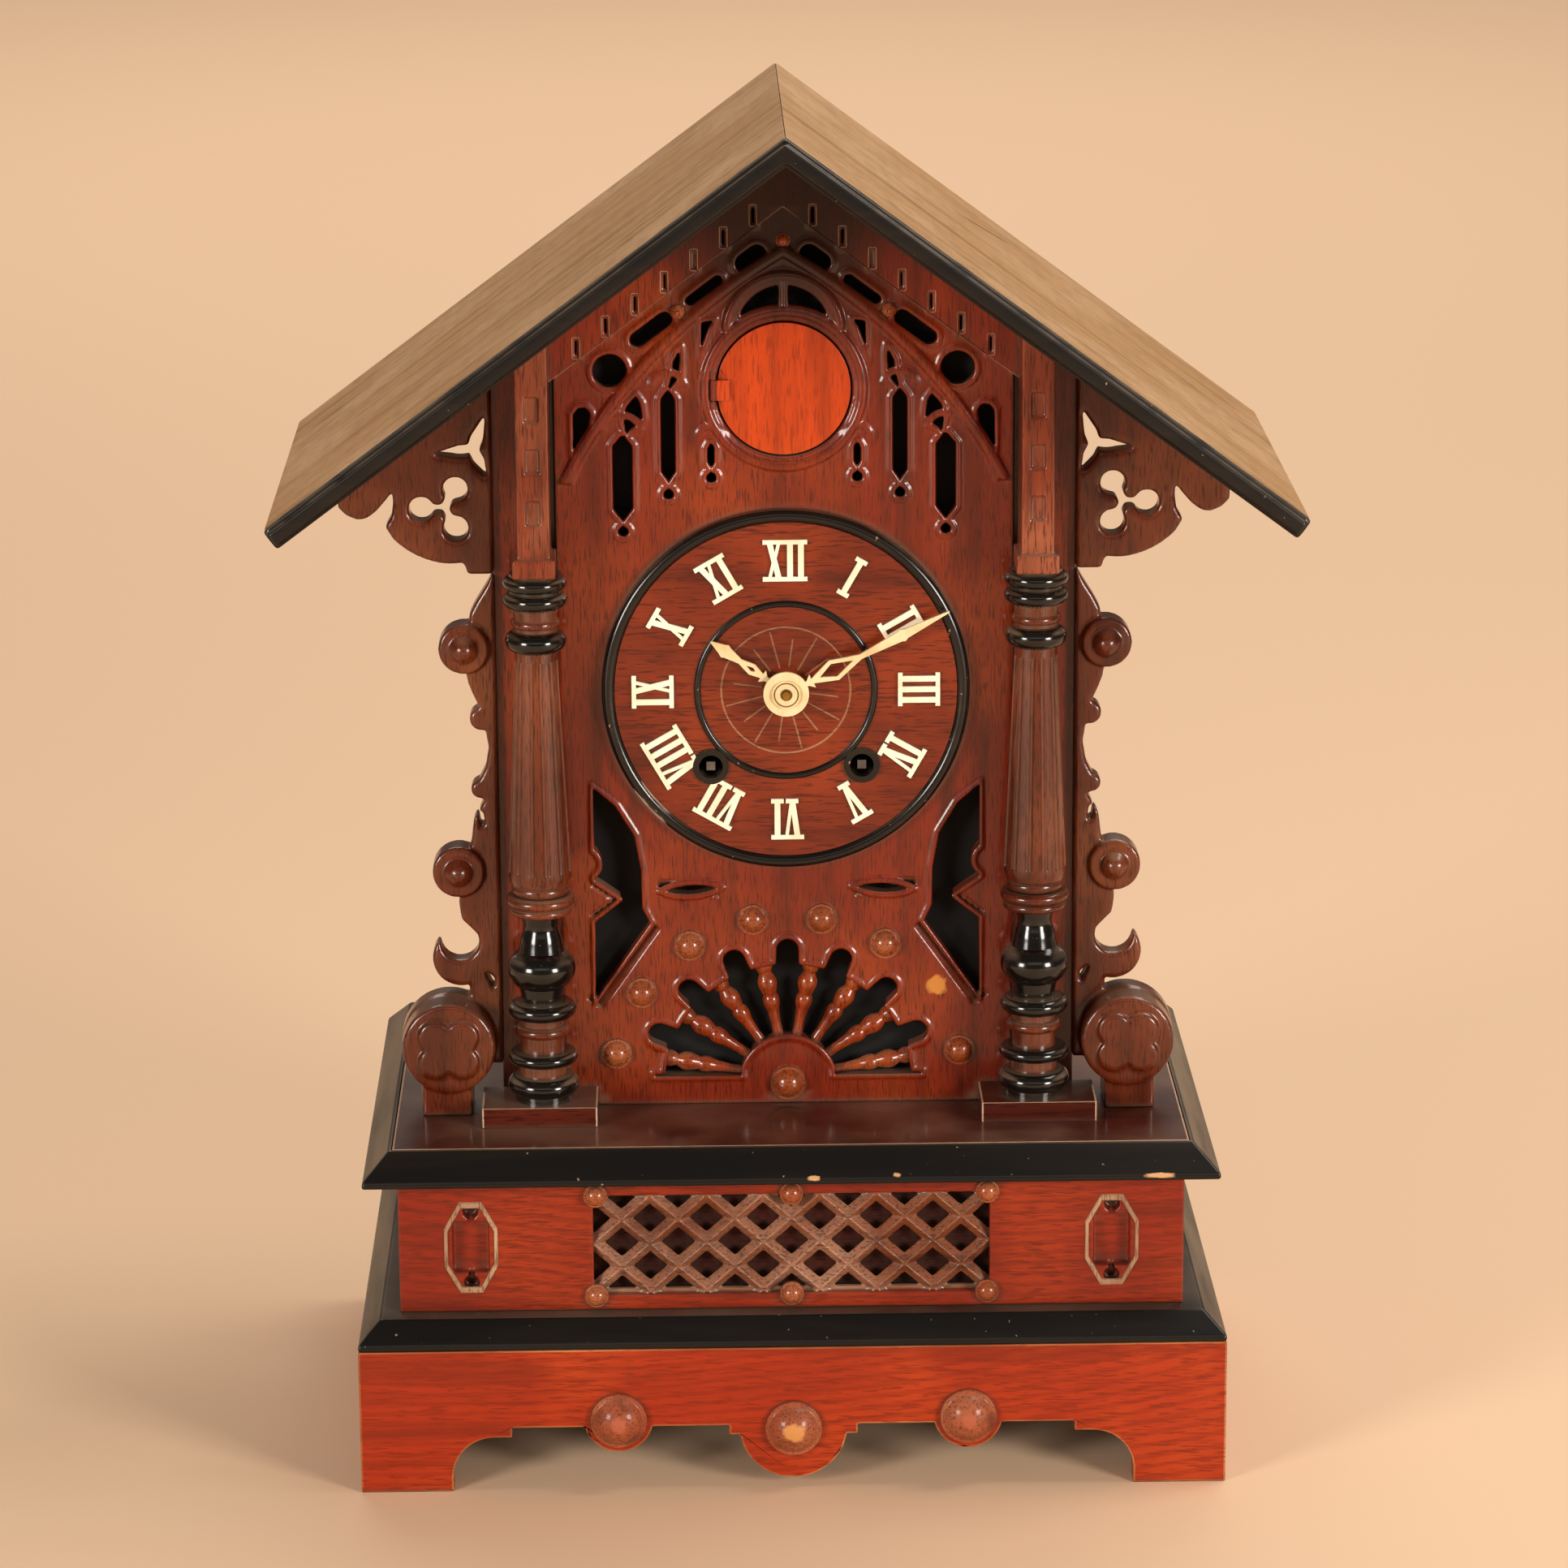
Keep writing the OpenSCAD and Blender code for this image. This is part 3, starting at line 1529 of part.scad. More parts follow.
// Click that stops a ratchet wheel, just clear of its teeth
module click(side) {
  translate([side * winding_x, 0, z_wind])
    upright(y_ratchet, ratchet_t)
      polygon([
        [side * 2, ratchet_r + 0.4], [side * 9, ratchet_r - 1], [side * 14, ratchet_r + 4],
        [side * 11, ratchet_r + 8], [side * 1, ratchet_r + 3]
      ]);
  rod_y(side * (winding_x + 10.5), z_wind + ratchet_r + 3.4, y_ratchet + ratchet_t, y_front_plate, 1.8);
}

module front_plate() {
  color(brass) {
    difference() {
      union() {
        slab(-plate_half_w, plate_half_w, y_front_plate, y_inside, z_plate, z_plate + plate_h);
        for (z = pillar_z)
          both_sides()
            rod_y(pillar_x, z, y_panel_back, y_front_plate, pillar_r);
        rod_y(0, z_dial + motion_reach, y_hour_wheel - 3, y_front_plate, centre_arbor_r);
      }
      arbor_holes(y_front_plate - 1, y_inside + 1);
      rod_y(0, z_dial, y_front_plate - 1, y_inside + 1, centre_arbor_r + arbor_fit);
    }
    click(1);
    click(-1);
  }
}

cock_half = 10;
stud_start = y_crutch + 1.6;
y_cock = y_rod + 5.5;
cock_t = 2;
hammer_x = 65;
z_hammer = z_dial - 56;
y_gong = y_rod + 17;
hammer_pin_r = 1.5;

module back_plate() {
  color(brass) {
    difference() {
      slab(-plate_half_w, plate_half_w, y_back_plate, y_movement, z_plate, z_plate + plate_h);
      arbor_holes(y_back_plate - 1, y_movement + 1);
      rod_y(0, z_dial, y_back_plate - 1, y_movement + 1, centre_arbor_r + arbor_fit);
    }
    for (z = pillar_z)
      both_sides()
        rod_y(pillar_x, z, y_inside, y_back_plate - joint, pillar_r);
    slab(-cock_half, cock_half, y_movement, y_cock + cock_t, z_anchor + 8, z_anchor + 8 + cock_t);
    slab(-cock_half, cock_half, y_cock, y_cock + cock_t, z_anchor - 6, z_anchor + 8);
    rod_y(0, z_anchor, stud_start, y_cock, 2);
    rod_y(hammer_x, z_hammer, y_movement, y_gong + 8, hammer_pin_r);
  }
}

module centre_wheel() {
  color(brass) {
    rod_y(0, z_dial, y_minute_hand - 1.6, y_movement, centre_arbor_r);
    wheel_gear(0, z_dial, y_centre_wheel, centre_t, centre_teeth, centre_module, reach_angle, 4);
    pinion_gear(0, z_dial, great_y - 0.5, great_t + 1.5, great_pinion, great_module,
      gap_angle(great_angle, great_pinion));
    rod_y(0, z_dial, y_minute_hand + hand_t, y_cannon + 4.5, pipe_r);
    pinion_gear(0, z_dial, y_cannon, 4.5, cannon_leaves, cannon_module, 90);
  }
}

module minute_wheel() {
  play = centre_arbor_r + arbor_fit;
  y0 = y_cannon + 1.2;
  color(brass)
    difference() {
      union() {
        wheel_gear(0, z_dial + motion_reach, y0, train_t, minute_teeth, cannon_module,
          gap_angle(90, minute_teeth), 3.4);
        pinion_gear(0, z_dial + motion_reach, y_hour_wheel - 0.4, y0 + train_t / 2 - y_hour_wheel + 0.4,
          minute_leaves, hour_module, -90);
      }
      rod_y(0, z_dial + motion_reach, y_hour_wheel - 4, y_front_plate, play);
    }
}

module hour_wheel() {
  color(brass)
    difference() {
      union() {
        wheel_gear(0, z_dial, y_hour_wheel, train_t, hour_teeth, hour_module, gap_angle(-90, hour_teeth), 5);
        rod_y(0, z_dial, y_hour_hand - 0.4, y_hour_wheel + train_t, hour_pipe_r);
      }
      rod_y(0, z_dial, y_hour_hand - 2, y_hour_wheel + train_t + 1, pipe_r + arbor_fit);
    }
}

module third_wheel() {
  color(brass) {
    rod_y(third_x, z_third, y_front_plate, y_movement, arbor_r);
    pinion_gear(third_x, z_third, y_centre_wheel - 1, centre_t + 2, third_pinion, centre_module,
      gap_angle(reach_angle, third_pinion));
    wheel_gear(third_x, z_third, y_third_wheel, train_t, third_teeth, third_module, third_angle, 3);
  }
}

module escape_wheel() {
  root = escape_r - 2.6;
  color(brass) {
    rod_y(0, z_escape, y_front_plate, y_movement, arbor_r);
    pinion_gear(0, z_escape, y_third_wheel - 1, train_t + 2, escape_pinion, third_module,
      gap_angle(third_angle, escape_pinion));
    translate([0, 0, z_escape])
      upright(y_escape_wheel, train_t) {
        difference() {
          polygon([
            for (i = [0 : escape_teeth - 1], k = [0 : 2])
              let (a = (i + [0, 0.12, 0.5][k]) * 360 / escape_teeth, r = [root, escape_r, root][k])
              [r * cos(a), r * sin(a)]
          ]);
          circle(root - 1.8);
        }
        for (a = [0 : 90 : 270])
          rotate(a)
            translate([0, -0.9])
              square([root - 1.2, 1.8]);
        circle(3);
      }
  }
}

// Anchor with its arbor, crutch and fork
anchor_swing = 3.5;
pallet_clear = escape_r + 1.15;

module anchor() {
  fork_gap = 0.4;
  rod_half = 2;
  arm = anchor_rise - pallet_clear * 0.7071;
  reach = pallet_clear * 0.7071;
  fork_drop = 46;
  color(steel) {
    rod_y(0, z_anchor, y_front_plate, y_crutch + 1.2, arbor_r);
    translate([0, 0, z_anchor])
      upright(y_escape_wheel - 0.4, train_t + 0.8) {
        circle(3.2);
        both_sides()
          polygon([
            [0, -1.6], [0, 2.6], [reach + 2.4, -arm + 3.4], [reach + 2.4, -arm + 0.2],
            [reach, -arm], [reach - 0.8, -arm + 2]
          ]);
      }
    translate([0, 0, z_anchor])
      upright(y_crutch - 0.4, 1.6)
        polygon([[-1.2, 0], [1.2, 0], [1.2, -fork_drop], [-1.2, -fork_drop]]);
    both_sides()
      slab(rod_half + fork_gap, rod_half + fork_gap + 1.4, y_crutch - 0.4, y_rod + 1,
        z_anchor - fork_drop - 1.5, z_anchor - fork_drop + 1.5);
    slab(-rod_half - fork_gap - 1.4, rod_half + fork_gap + 1.4, y_crutch - 0.4, y_crutch + 1.2,
      z_anchor - fork_drop - 1.5, z_anchor - fork_drop + 1.5);
  }
}

bob_play = 0.1;
bob_travel = 6;
nut_r = 3.4;
nut_h = 4;
rod_screw_r = 1.2;

module pendulum_rod() {
  eye_r = 4.4;
  z_bob = z_anchor - pendulum_len;
  z_nut = z_bob - bob_r - 0.3;
  color(pale_wood) {
    difference() {
      union() {
        rod_y(0, z_anchor, y_rod - 2, y_rod + 2, eye_r);
        slab(-2, 2, y_rod - 1, y_rod + 1, z_bob + bob_r + bob_travel + 1, z_anchor - eye_r + 1);
      }
      rod_y(0, z_anchor, y_rod - 3, y_rod + 3, 2 + arbor_fit);
    }
    translate([0, y_rod, z_nut - nut_h - 5])
      cylinder(h = 2 * bob_r + 5 + nut_h + bob_travel + 3.3, r = rod_screw_r, $fn = 32);
  }
  color(brass)
    translate([0, y_rod, z_nut - nut_h])
      cylinder(h = nut_h, r = nut_r, $fn = 12);
}

module pendulum_bob() {
  z_bob = z_anchor - pendulum_len;
  rim = bob_t * 0.35;
  color(brass)
    difference() {
      translate([0, y_rod + bob_t / 2, z_bob])
        rotate([90, 0, 0])
          rotate_extrude()
            polygon([
              [0, 0], [bob_r * 0.45, 0], [bob_r * 0.8, bob_t * 0.12], [bob_r, rim], [bob_r, bob_t - rim],
              [bob_r * 0.8, bob_t * 0.88], [bob_r * 0.45, bob_t], [0, bob_t]
            ]);
      translate([0, y_rod, z_bob - bob_r - 1])
        cylinder(h = 2 * bob_r + 2, r = rod_screw_r + bob_play, $fn = 32);
    }
}

// Spring barrels and their winding arbors
module barrel(side, y_wheel, y_drum, angle) {
  color(brass)
    difference() {
      union() {
        wheel_gear(side * winding_x, z_wind, y_wheel, great_t, great_teeth, great_module, angle, barrel_r);
        rod_y(side * winding_x, z_wind, y_drum, y_drum + barrel_len, barrel_r);
      }
      rod_y(side * winding_x, z_wind, y_inside, y_back_plate, winding_arbor_r + arbor_fit);
    }
}

module going_barrel() {
  barrel(1, great_y, y_going_drum, great_angle);
}

module strike_barrel() {
  barrel(-1, y_strike_wheel, y_strike_wheel - barrel_len, pin_angle);
}

module winding_arbor(side) {
  square_w = 3.4;
  ratchet_teeth = 16;
  color(steel)
    translate([side * winding_x, 0, z_wind]) {
      rod_y(0, 0, y_ratchet - 4, y_movement, winding_arbor_r);
      translate([-square_w / 2, y_dial + 0.4, -square_w / 2])
        cube([square_w, y_ratchet - 4 - y_dial - 0.4, square_w]);
      upright(y_ratchet, ratchet_t)
        polygon([
          for (i = [0 : ratchet_teeth - 1], k = [0, 1])
            let (a = (i + 0.2 * k) * 360 / ratchet_teeth * side, r = ratchet_r - 1.8 * k)
            [r * cos(a), r * sin(a)]
        ]);
    }
}

module going_arbor() {
  winding_arbor(1);
}

module strike_arbor() {
  winding_arbor(-1);
}

module pin_wheel() {
  y0 = y_strike_wheel - 8;
  disc_r = 17;
  pins = 8;
  color(brass) {
    rod_y(pin_x, z_pin, y_front_plate, y_movement, arbor_r);
    pinion_gear(pin_x, z_pin, y_strike_wheel - 0.5, great_t + 1, great_pinion, great_module,
      gap_angle(pin_angle, great_pinion));
    translate([pin_x, 0, z_pin]) {
      rod_y(0, 0, y0, y0 + train_t, disc_r);
      for (i = [0 : pins - 1])
        rod_y((disc_r - 2.5) * cos(i * 360 / pins), (disc_r - 2.5) * sin(i * 360 / pins), y0 - 4, y0, 0.8);
    }
  }
}

// Whistles and bellows against the side boards
z_pipe = z_deck + pipe_foot_h;
y_pipe = y_panel_back + 39;
y_bellows_back = y_pipe + pipe_d;
lid_t = 3;

module whistle_pipes() {
  wall = 4;
  mouth_h = 5;
  color(pale_wood)
    both_sides()
      difference() {
        union() {
          slab(case_inner - pipe_w, case_inner, y_pipe, y_bellows_back, z_pipe, z_pipe + pipe_h);
          slab(case_inner - pipe_w, case_inner, y_bellows_back - bellows_len, y_bellows_back,
            z_pipe + pipe_h, z_pipe + pipe_h + lid_t);
        }
        slab(case_inner - pipe_w + wall, case_inner - wall, y_pipe + wall, y_bellows_back - wall,
          z_pipe + wall, z_pipe + pipe_h - wall * 2);
        slab(case_inner - pipe_w + wall, case_inner - wall, y_pipe - 1, y_pipe + wall + 1,
          z_pipe + pipe_h - wall * 2 - mouth_h, z_pipe + pipe_h - wall * 2);
      }
}

module bellows_leather_right() {
  inset = 1;
  color(leather)
    slab(case_inner - pipe_w + inset, case_inner - inset,
      y_bellows_back - bellows_len + inset, y_bellows_back - inset,
      z_pipe + pipe_h + lid_t, z_pipe + pipe_h + lid_t + bellows_fold);
}

module bellows_leather_left() {
  mirror([1, 0, 0])
    bellows_leather_right();
}

module bellows_top_right() {
  weight_r = 5;
  z0 = z_pipe + pipe_h + lid_t + bellows_fold;
  color(pale_wood) {
    slab(case_inner - pipe_w + 0.4, case_inner - 0.6, y_bellows_back - bellows_len, y_bellows_back,
      z0, z0 + lid_t);
    translate([case_inner - pipe_w / 2, y_bellows_back - bellows_len + 10, z0 + lid_t])
      cylinder(h = 4, r = weight_r);
  }
}

module bellows_top_left() {
  mirror([1, 0, 0])
    bellows_top_right();
}

// Gong: a flat wire spiral on an iron post, and the hammer beside it
gong_x = 50;
z_gong = z_deck + 56;
gong_steps = 24;
gong_inner = 6;

module gong() {
  turns = gong_turns * gong_steps;
  pitch = (gong_r - gong_inner) / turns;
  color(steel) {
    translate([gong_x, 0, z_gong])
      upright(y_gong, gong_wire)
        polygon(concat(
          [for (i = [0 : turns])
            (gong_inner + i * pitch) * [cos(i * 360 / gong_steps), sin(i * 360 / gong_steps)]],
          [for (i = [turns : -1 : 0])
            (gong_inner - gong_wire + i * pitch) * [cos(i * 360 / gong_steps), sin(i * 360 / gong_steps)]]
        ));
    slab(gong_x - 7, gong_x + 7, y_gong + gong_wire, y_gong + gong_wire + 8, z_deck, z_gong + 7);
    slab(gong_x - 16, gong_x + 16, y_gong - 8, y_gong + gong_wire + 8, z_deck, z_deck + 5);
  }
}

module hammer() {
  hub = 4;
  head_r = 4;
  head_len = 10;
  rest_gap = 1.5;
  arm_half = 1.2;
  strike_angle = 135;
  hit_x = gong_x + (gong_r + rest_gap) * cos(strike_angle);
  hit_z = z_gong + (gong_r + rest_gap) * sin(strike_angle);
  head_x = hit_x + head_len / 2 * cos(strike_angle);
  head_z = hit_z + head_len / 2 * sin(strike_angle);
  arm_len = sqrt(pow(hammer_x - head_x, 2) + pow(z_hammer - head_z, 2));
  color(steel)
    difference() {
      union() {
        rod_y(hammer_x, z_hammer, y_gong - 3, y_gong + 5, hub);
        translate([hammer_x, y_gong, z_hammer])
          rotate([0, -atan2(head_z - z_hammer, head_x - hammer_x), 0])
            translate([0, 0, -arm_half])
              cube([arm_len, 2 * arm_half, 2 * arm_half]);
        translate([hit_x, y_gong + arm_half, hit_z])
          rotate([0, strike_angle - 180, 0])
            rotate([0, 0, 0])
              cylinder(h = head_len, r = head_r);
      }
      rod_y(hammer_x, z_hammer, y_gong - 4, y_gong + 6, hammer_pin_r + arbor_fit);
    }
}

plinth_front();
plinth_frame();
plinth_bosses();
lower_moulding();
box_front();
box_frame();
lattice_panel();
upper_moulding();
deck_board();
front_panel();
front_stiles();
fan_spindles();
turned_studs();
gable_frieze();
corner_posts();
columns();
column_blocks();
eave_brackets();
side_scrolls();
dial_plate();
dial_rings();
dial_numerals();
roof_board_left();
roof_board_right();
roof_moulding();
case_sides();
case_back();
back_door();
door_fittings();
door_button();
cuckoo_door();
cuckoo_door_pin();
bird_shelf();
bird_bracket();
bird_arm();
cuckoo_bird();
hour_hand();
minute_hand();
front_plate();
back_plate();
centre_wheel();
hour_wheel();
minute_wheel();
third_wheel();
escape_wheel();
anchor();
pendulum_rod();
pendulum_bob();
going_barrel();
strike_barrel();
going_arbor();
strike_arbor();
pin_wheel();
whistle_pipes();
bellows_top_left();
bellows_top_right();
bellows_leather_left();
bellows_leather_right();
gong();
hammer();
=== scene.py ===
# Cuckoo mantel clock: the look of each piece, from the ground up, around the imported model.
import math

import bpy
from mathutils import Matrix, Vector


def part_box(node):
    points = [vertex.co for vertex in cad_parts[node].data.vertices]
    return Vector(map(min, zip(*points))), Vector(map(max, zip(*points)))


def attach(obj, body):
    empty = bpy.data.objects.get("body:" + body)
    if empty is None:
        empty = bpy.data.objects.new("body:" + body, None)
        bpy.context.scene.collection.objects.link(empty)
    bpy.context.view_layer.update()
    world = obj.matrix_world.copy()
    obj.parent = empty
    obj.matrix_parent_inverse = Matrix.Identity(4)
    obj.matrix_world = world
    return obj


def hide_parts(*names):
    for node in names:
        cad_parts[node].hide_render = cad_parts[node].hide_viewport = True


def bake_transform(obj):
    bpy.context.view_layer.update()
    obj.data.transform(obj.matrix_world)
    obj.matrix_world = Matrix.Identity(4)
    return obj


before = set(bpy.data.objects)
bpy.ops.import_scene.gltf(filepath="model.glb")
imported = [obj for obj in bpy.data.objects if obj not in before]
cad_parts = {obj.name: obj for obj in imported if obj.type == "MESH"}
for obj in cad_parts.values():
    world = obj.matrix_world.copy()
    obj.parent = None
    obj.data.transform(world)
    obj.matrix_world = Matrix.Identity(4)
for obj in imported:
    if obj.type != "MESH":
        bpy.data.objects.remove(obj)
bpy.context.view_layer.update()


# Plinth boards
# Four walnut boards, glued and mitred, with an apron sawn along the front one.
# Stained orange-red and varnished; the varnish is worn at the corners and dusty on top.
def wire(finish, kind, sockets=(), **settings):
    """Adds a shader node to a finish; a socket is linked and a plain value is typed in."""
    node = finish.node_tree.nodes.new("ShaderNode" + kind)
    for name, value in settings.items():
        setattr(node, name, value)
    for name, value in dict(sockets).items():
        if isinstance(value, bpy.types.NodeSocket):
            finish.node_tree.links.new(value, node.inputs[name])
        else:
            node.inputs[name].default_value = value
    return node


def maths(finish, operation, first, second=0.0):
    return wire(finish, "Math", {0: first, 1: second}, operation=operation).outputs[0]


def times(finish, first, second):
    return maths(finish, "MULTIPLY", first, second)


def outside(finish, mask):
    """1 where the mask is 0, and 0 where it is 1."""
    return maths(finish, "SUBTRACT", 1.0, mask)


def fade(finish, value, low, high):
    """0 below low and 1 above high."""
    sockets = {"Value": value, "From Min": low, "From Max": high}
    return wire(finish, "MapRange", sockets, interpolation_type="SMOOTHSTEP").outputs[0]


def paint(code):
    """A colour as six hexadecimal digits, made linear for the shader."""
    channels = [int(code[i:i + 2], 16) / 255 for i in (0, 2, 4)]
    return [c / 12.92 if c < 0.04 else ((c + 0.055) / 1.055) ** 2.4 for c in channels] + [1.0]


def layer(finish, mask, below, above):
    """The colour above laid over the colour below where the mask is 1."""
    sockets = {0: mask, 6: below, 7: above}
    return wire(finish, "Mix", sockets, data_type="RGBA").outputs[2]


def speckle(finish, place, scale, detail=2.0, warp=0.0):
    sockets = {"Vector": place, "Scale": scale, "Detail": detail, "Distortion": warp}
    return wire(finish, "TexNoise", sockets).outputs[0]


def stretched(finish, place, scale, turn=(0.0, 0.0, 0.0)):
    turned = wire(finish, "Mapping", {"Vector": place, "Rotation": turn}).outputs[0]
    return wire(finish, "Mapping", {"Vector": turned, "Scale": scale}).outputs[0]


def year_rings(finish, place, centre):
    """Fine curved lines where the saw met the year rings, closed round a centre on the board."""
    scale = (0.3, 1.0, 1.0)
    shift = [-c * k for c, k in zip(centre, scale)]
    settings = {"Vector": place, "Location": shift, "Scale": scale}
    moved = wire(finish, "Mapping", settings).outputs[0]
    sockets = {"Vector": moved, "Scale": 75.0, "Distortion": 2.4, "Detail": 3.0,
               "Detail Scale": 1.2}
    rings = wire(finish, "TexWave", sockets, wave_type="RINGS", rings_direction="Y")
    return fade(finish, rings.outputs["Fac"], 0.45, 0.9)


def new_finish(name):
    """A finish with nothing on it yet, and the place on the piece that its patterns follow."""
    finish = bpy.data.materials.new(name)
    finish.use_nodes = True
    return finish, wire(finish, "TexCoord").outputs["Object"]


def shader_sockets(finish):
    return finish.node_tree.nodes["Principled BSDF"].inputs


def set_plain(finish, values):
    for name, value in values.items():
        shader_sockets(finish)[name].default_value = value


def coloured(finish, colour):
    finish.node_tree.links.new(colour, shader_sockets(finish)["Base Color"])


def roughened(finish, height, strength, depth):
    sockets = {"Height": height, "Strength": strength, "Distance": depth}
    bump = wire(finish, "Bump", sockets).outputs[0]
    finish.node_tree.links.new(bump, shader_sockets(finish)["Normal"])


def polished(finish, roughness, coat, coat_roughness):
    """An old varnish or lacquer, which shines less than a new one."""
    set_plain(finish, {"Roughness": roughness, "Specular IOR Level": 0.25,
                       "Coat Weight": coat * 0.6, "Coat Roughness": coat_roughness})


def hollows(finish, distance):
    """Low in corners and carving: where dust collects, and where shade is painted."""
    return wire(finish, "AmbientOcclusion", {"Distance": distance}, samples=4).outputs["AO"]


def facing(finish):
    """Which way the surface faces, along each axis."""
    return wire(finish, "SeparateXYZ", {0: wire(finish, "TexCoord").outputs["Normal"]}).outputs


def varnished(name, dark, middle, light, grain, roughness=0.4, coat=0.6, dust=0.5,
              turn=(0.0, 0.0, 0.0), rings=None):
    """Stained wood: figure and pores along the grain axis, varnish, and dust on ledges."""
    finish, place = new_finish(name)
    figure_scale = [6.0 if axis == grain else 130.0 for axis in "XYZ"]
    pore_scale = [130.0 if axis == grain else 1500.0 for axis in "XYZ"]
    figure = speckle(finish, stretched(finish, place, figure_scale, turn), 1.0, 4.0, 0.5)
    pores = speckle(finish, stretched(finish, place, pore_scale, turn), 1.0, 2.0)
    mottle = speckle(finish, place, 18.0, 3.0)
    colour = layer(finish, fade(finish, figure, 0.2, 0.6), paint(dark), paint(middle))
    colour = layer(finish, fade(finish, mottle, 0.42, 0.74), colour, paint(light))
    if rings:
        ring_lines = times(finish, year_rings(finish, place, rings), 0.4)
        colour = layer(finish, ring_lines, colour, paint(dark))
    pore_mask = times(finish, fade(finish, pores, 0.5, 0.66), 0.8)
    colour = layer(finish, pore_mask, colour, paint(dark))
    lying = fade(finish, facing(finish)["Z"], 0.45, 0.95)
    ledges = times(finish, lying, fade(finish, mottle, 0.3, 0.75))
    hollow = hollows(finish, 0.006)
    # Painted shade: the colour goes near black in corners and hollows, where shade falls.
    painted_hollow_shade = outside(finish, fade(finish, hollow, 0.15, 0.6))
    colour = layer(finish, times(finish, painted_hollow_shade, 0.85), colour, paint("160905"))
    dust_lines = times(finish, fade(finish, hollow, 0.34, 0.46),
                       outside(finish, fade(finish, hollow, 0.5, 0.66)))
    settled = maths(finish, "MAXIMUM", ledges, times(finish, dust_lines, 0.6))
    coloured(finish, layer(finish, times(finish, settled, dust), colour, paint("8F7460")))
    relief = maths(finish, "SUBTRACT", figure, times(finish, pore_mask, 0.6))
    roughened(finish, relief, 0.25, 0.00025)
    polished(finish, roughness, coat, 0.13)
    return finish


def laid_over(finish, mask, colour):
    """Lays a colour over all that a finish shows so far, where the mask is 1."""
    below = shader_sockets(finish)["Base Color"].links[0].from_socket
    coloured(finish, layer(finish, mask, below, paint(colour)))


def patch(finish, centre, size, colour, ragged=0.35, turn=(0.0, 0.0, 0.0)):
    """A ragged spot of another colour, such as a worn place or a chip, at a point."""
    place = wire(finish, "TexCoord").outputs["Object"]
    shifted = wire(finish, "VectorMath", {0: place, 1: centre}, operation="SUBTRACT").outputs[0]
    near = stretched(finish, shifted, [1 / s for s in size], turn)
    reach = wire(finish, "VectorMath", {0: near}, operation="LENGTH").outputs["Value"]
    torn = times(finish, speckle(finish, near, 2.2, 4.0), 2 * ragged)
    beyond = fade(finish, maths(finish, "ADD", reach, torn), 0.85, 1.15)
    laid_over(finish, outside(finish, beyond), colour)


def distance_from(finish, place, centre):
    sockets = {0: place, 1: centre}
    return wire(finish, "VectorMath", sockets, operation="DISTANCE").outputs["Value"]


def painted_shadow_towards(finish, centre, near, far):
    """Paints a shadow into a finish, darkest at a point and fading out between the near and far
    distances.
    """
    reach = distance_from(finish, wire(finish, "TexCoord").outputs["Object"], centre)
    mask = times(finish, outside(finish, fade(finish, reach, near, far)), 0.86)
    laid_over(finish, mask, "0C0402")


def take(piece):
    """Makes a piece the only one that the next operators act on."""
    bpy.ops.object.select_all(action="DESELECT")
    piece.select_set(True)
    bpy.context.view_layer.objects.active = piece


def copied(node, name, finish):
    """A copy of a CAD node's mesh, with its corners merged."""
    piece = bpy.data.objects.new(name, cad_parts[node].data.copy())
    bpy.context.scene.collection.objects.link(piece)
    piece.data.materials.clear()
    piece.data.materials.append(finish)
    take(piece)
    bpy.ops.object.mode_set(mode="EDIT")
    bpy.ops.mesh.customdata_custom_splitnormals_clear()
    bpy.ops.mesh.select_all(action="SELECT")
    bpy.ops.mesh.remove_doubles(threshold=0.000004)
    bpy.ops.object.mode_set(mode="OBJECT")
    return piece


def finished(piece, body, slot, *nodes):
    if nodes:
        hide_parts(*nodes)
    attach(piece, body)


def apply(piece, kind, **settings):
    take(piece)
    modifier = piece.modifiers.new(kind.lower(), kind)
    for name, value in settings.items():
        setattr(modifier, name, value)
    bpy.ops.object.modifier_apply(modifier=modifier.name)


def smooth_below(degrees):
    """Smooths the piece in hand, except over edges sharper than the angle."""
    bpy.ops.object.shade_smooth_by_angle(angle=math.radians(degrees))


def eased(node, name, finish, edge, segments=2, worn=None):
    """A CAD node with its edges sanded round; they take the worn finish, if one is given."""
    piece = copied(node, name, finish)
    if worn:
        piece.data.materials.append(worn)
    apply(piece, "BEVEL", width=edge, segments=segments, limit_method="ANGLE",
          angle_limit=math.radians(32), use_clamp_overlap=False, miter_outer="MITER_ARC",
          material=1 if worn else -1)
    take(piece)
    smooth_below(36)
    apply(piece, "WEIGHTED_NORMAL", keep_sharp=True)
    return piece


plinth_wood = varnished("plinth_walnut", "7A1E03", "9E2A06", "AC380C", "X", dust=0.3,
                        rings=(-0.13, 0.0, 0.16))
plinth_side_wood = varnished("plinth_side_walnut", "701C03", "902606", "9E340C", "Y", dust=0.3)
rubbed_edge = varnished("rubbed_walnut_edge", "84401C", "A2582E", "BC7C4C", "X",
                        roughness=0.6, coat=0.1, dust=0.2)
for node, name, finish in (("plinth_front", "plinth_apron", plinth_wood),
                           ("plinth_frame", "plinth_sides", plinth_side_wood)):
    boards = eased(node, name, finish, edge=0.0007, worn=rubbed_edge)
    finished(boards, "case", "plinth_wood", node)


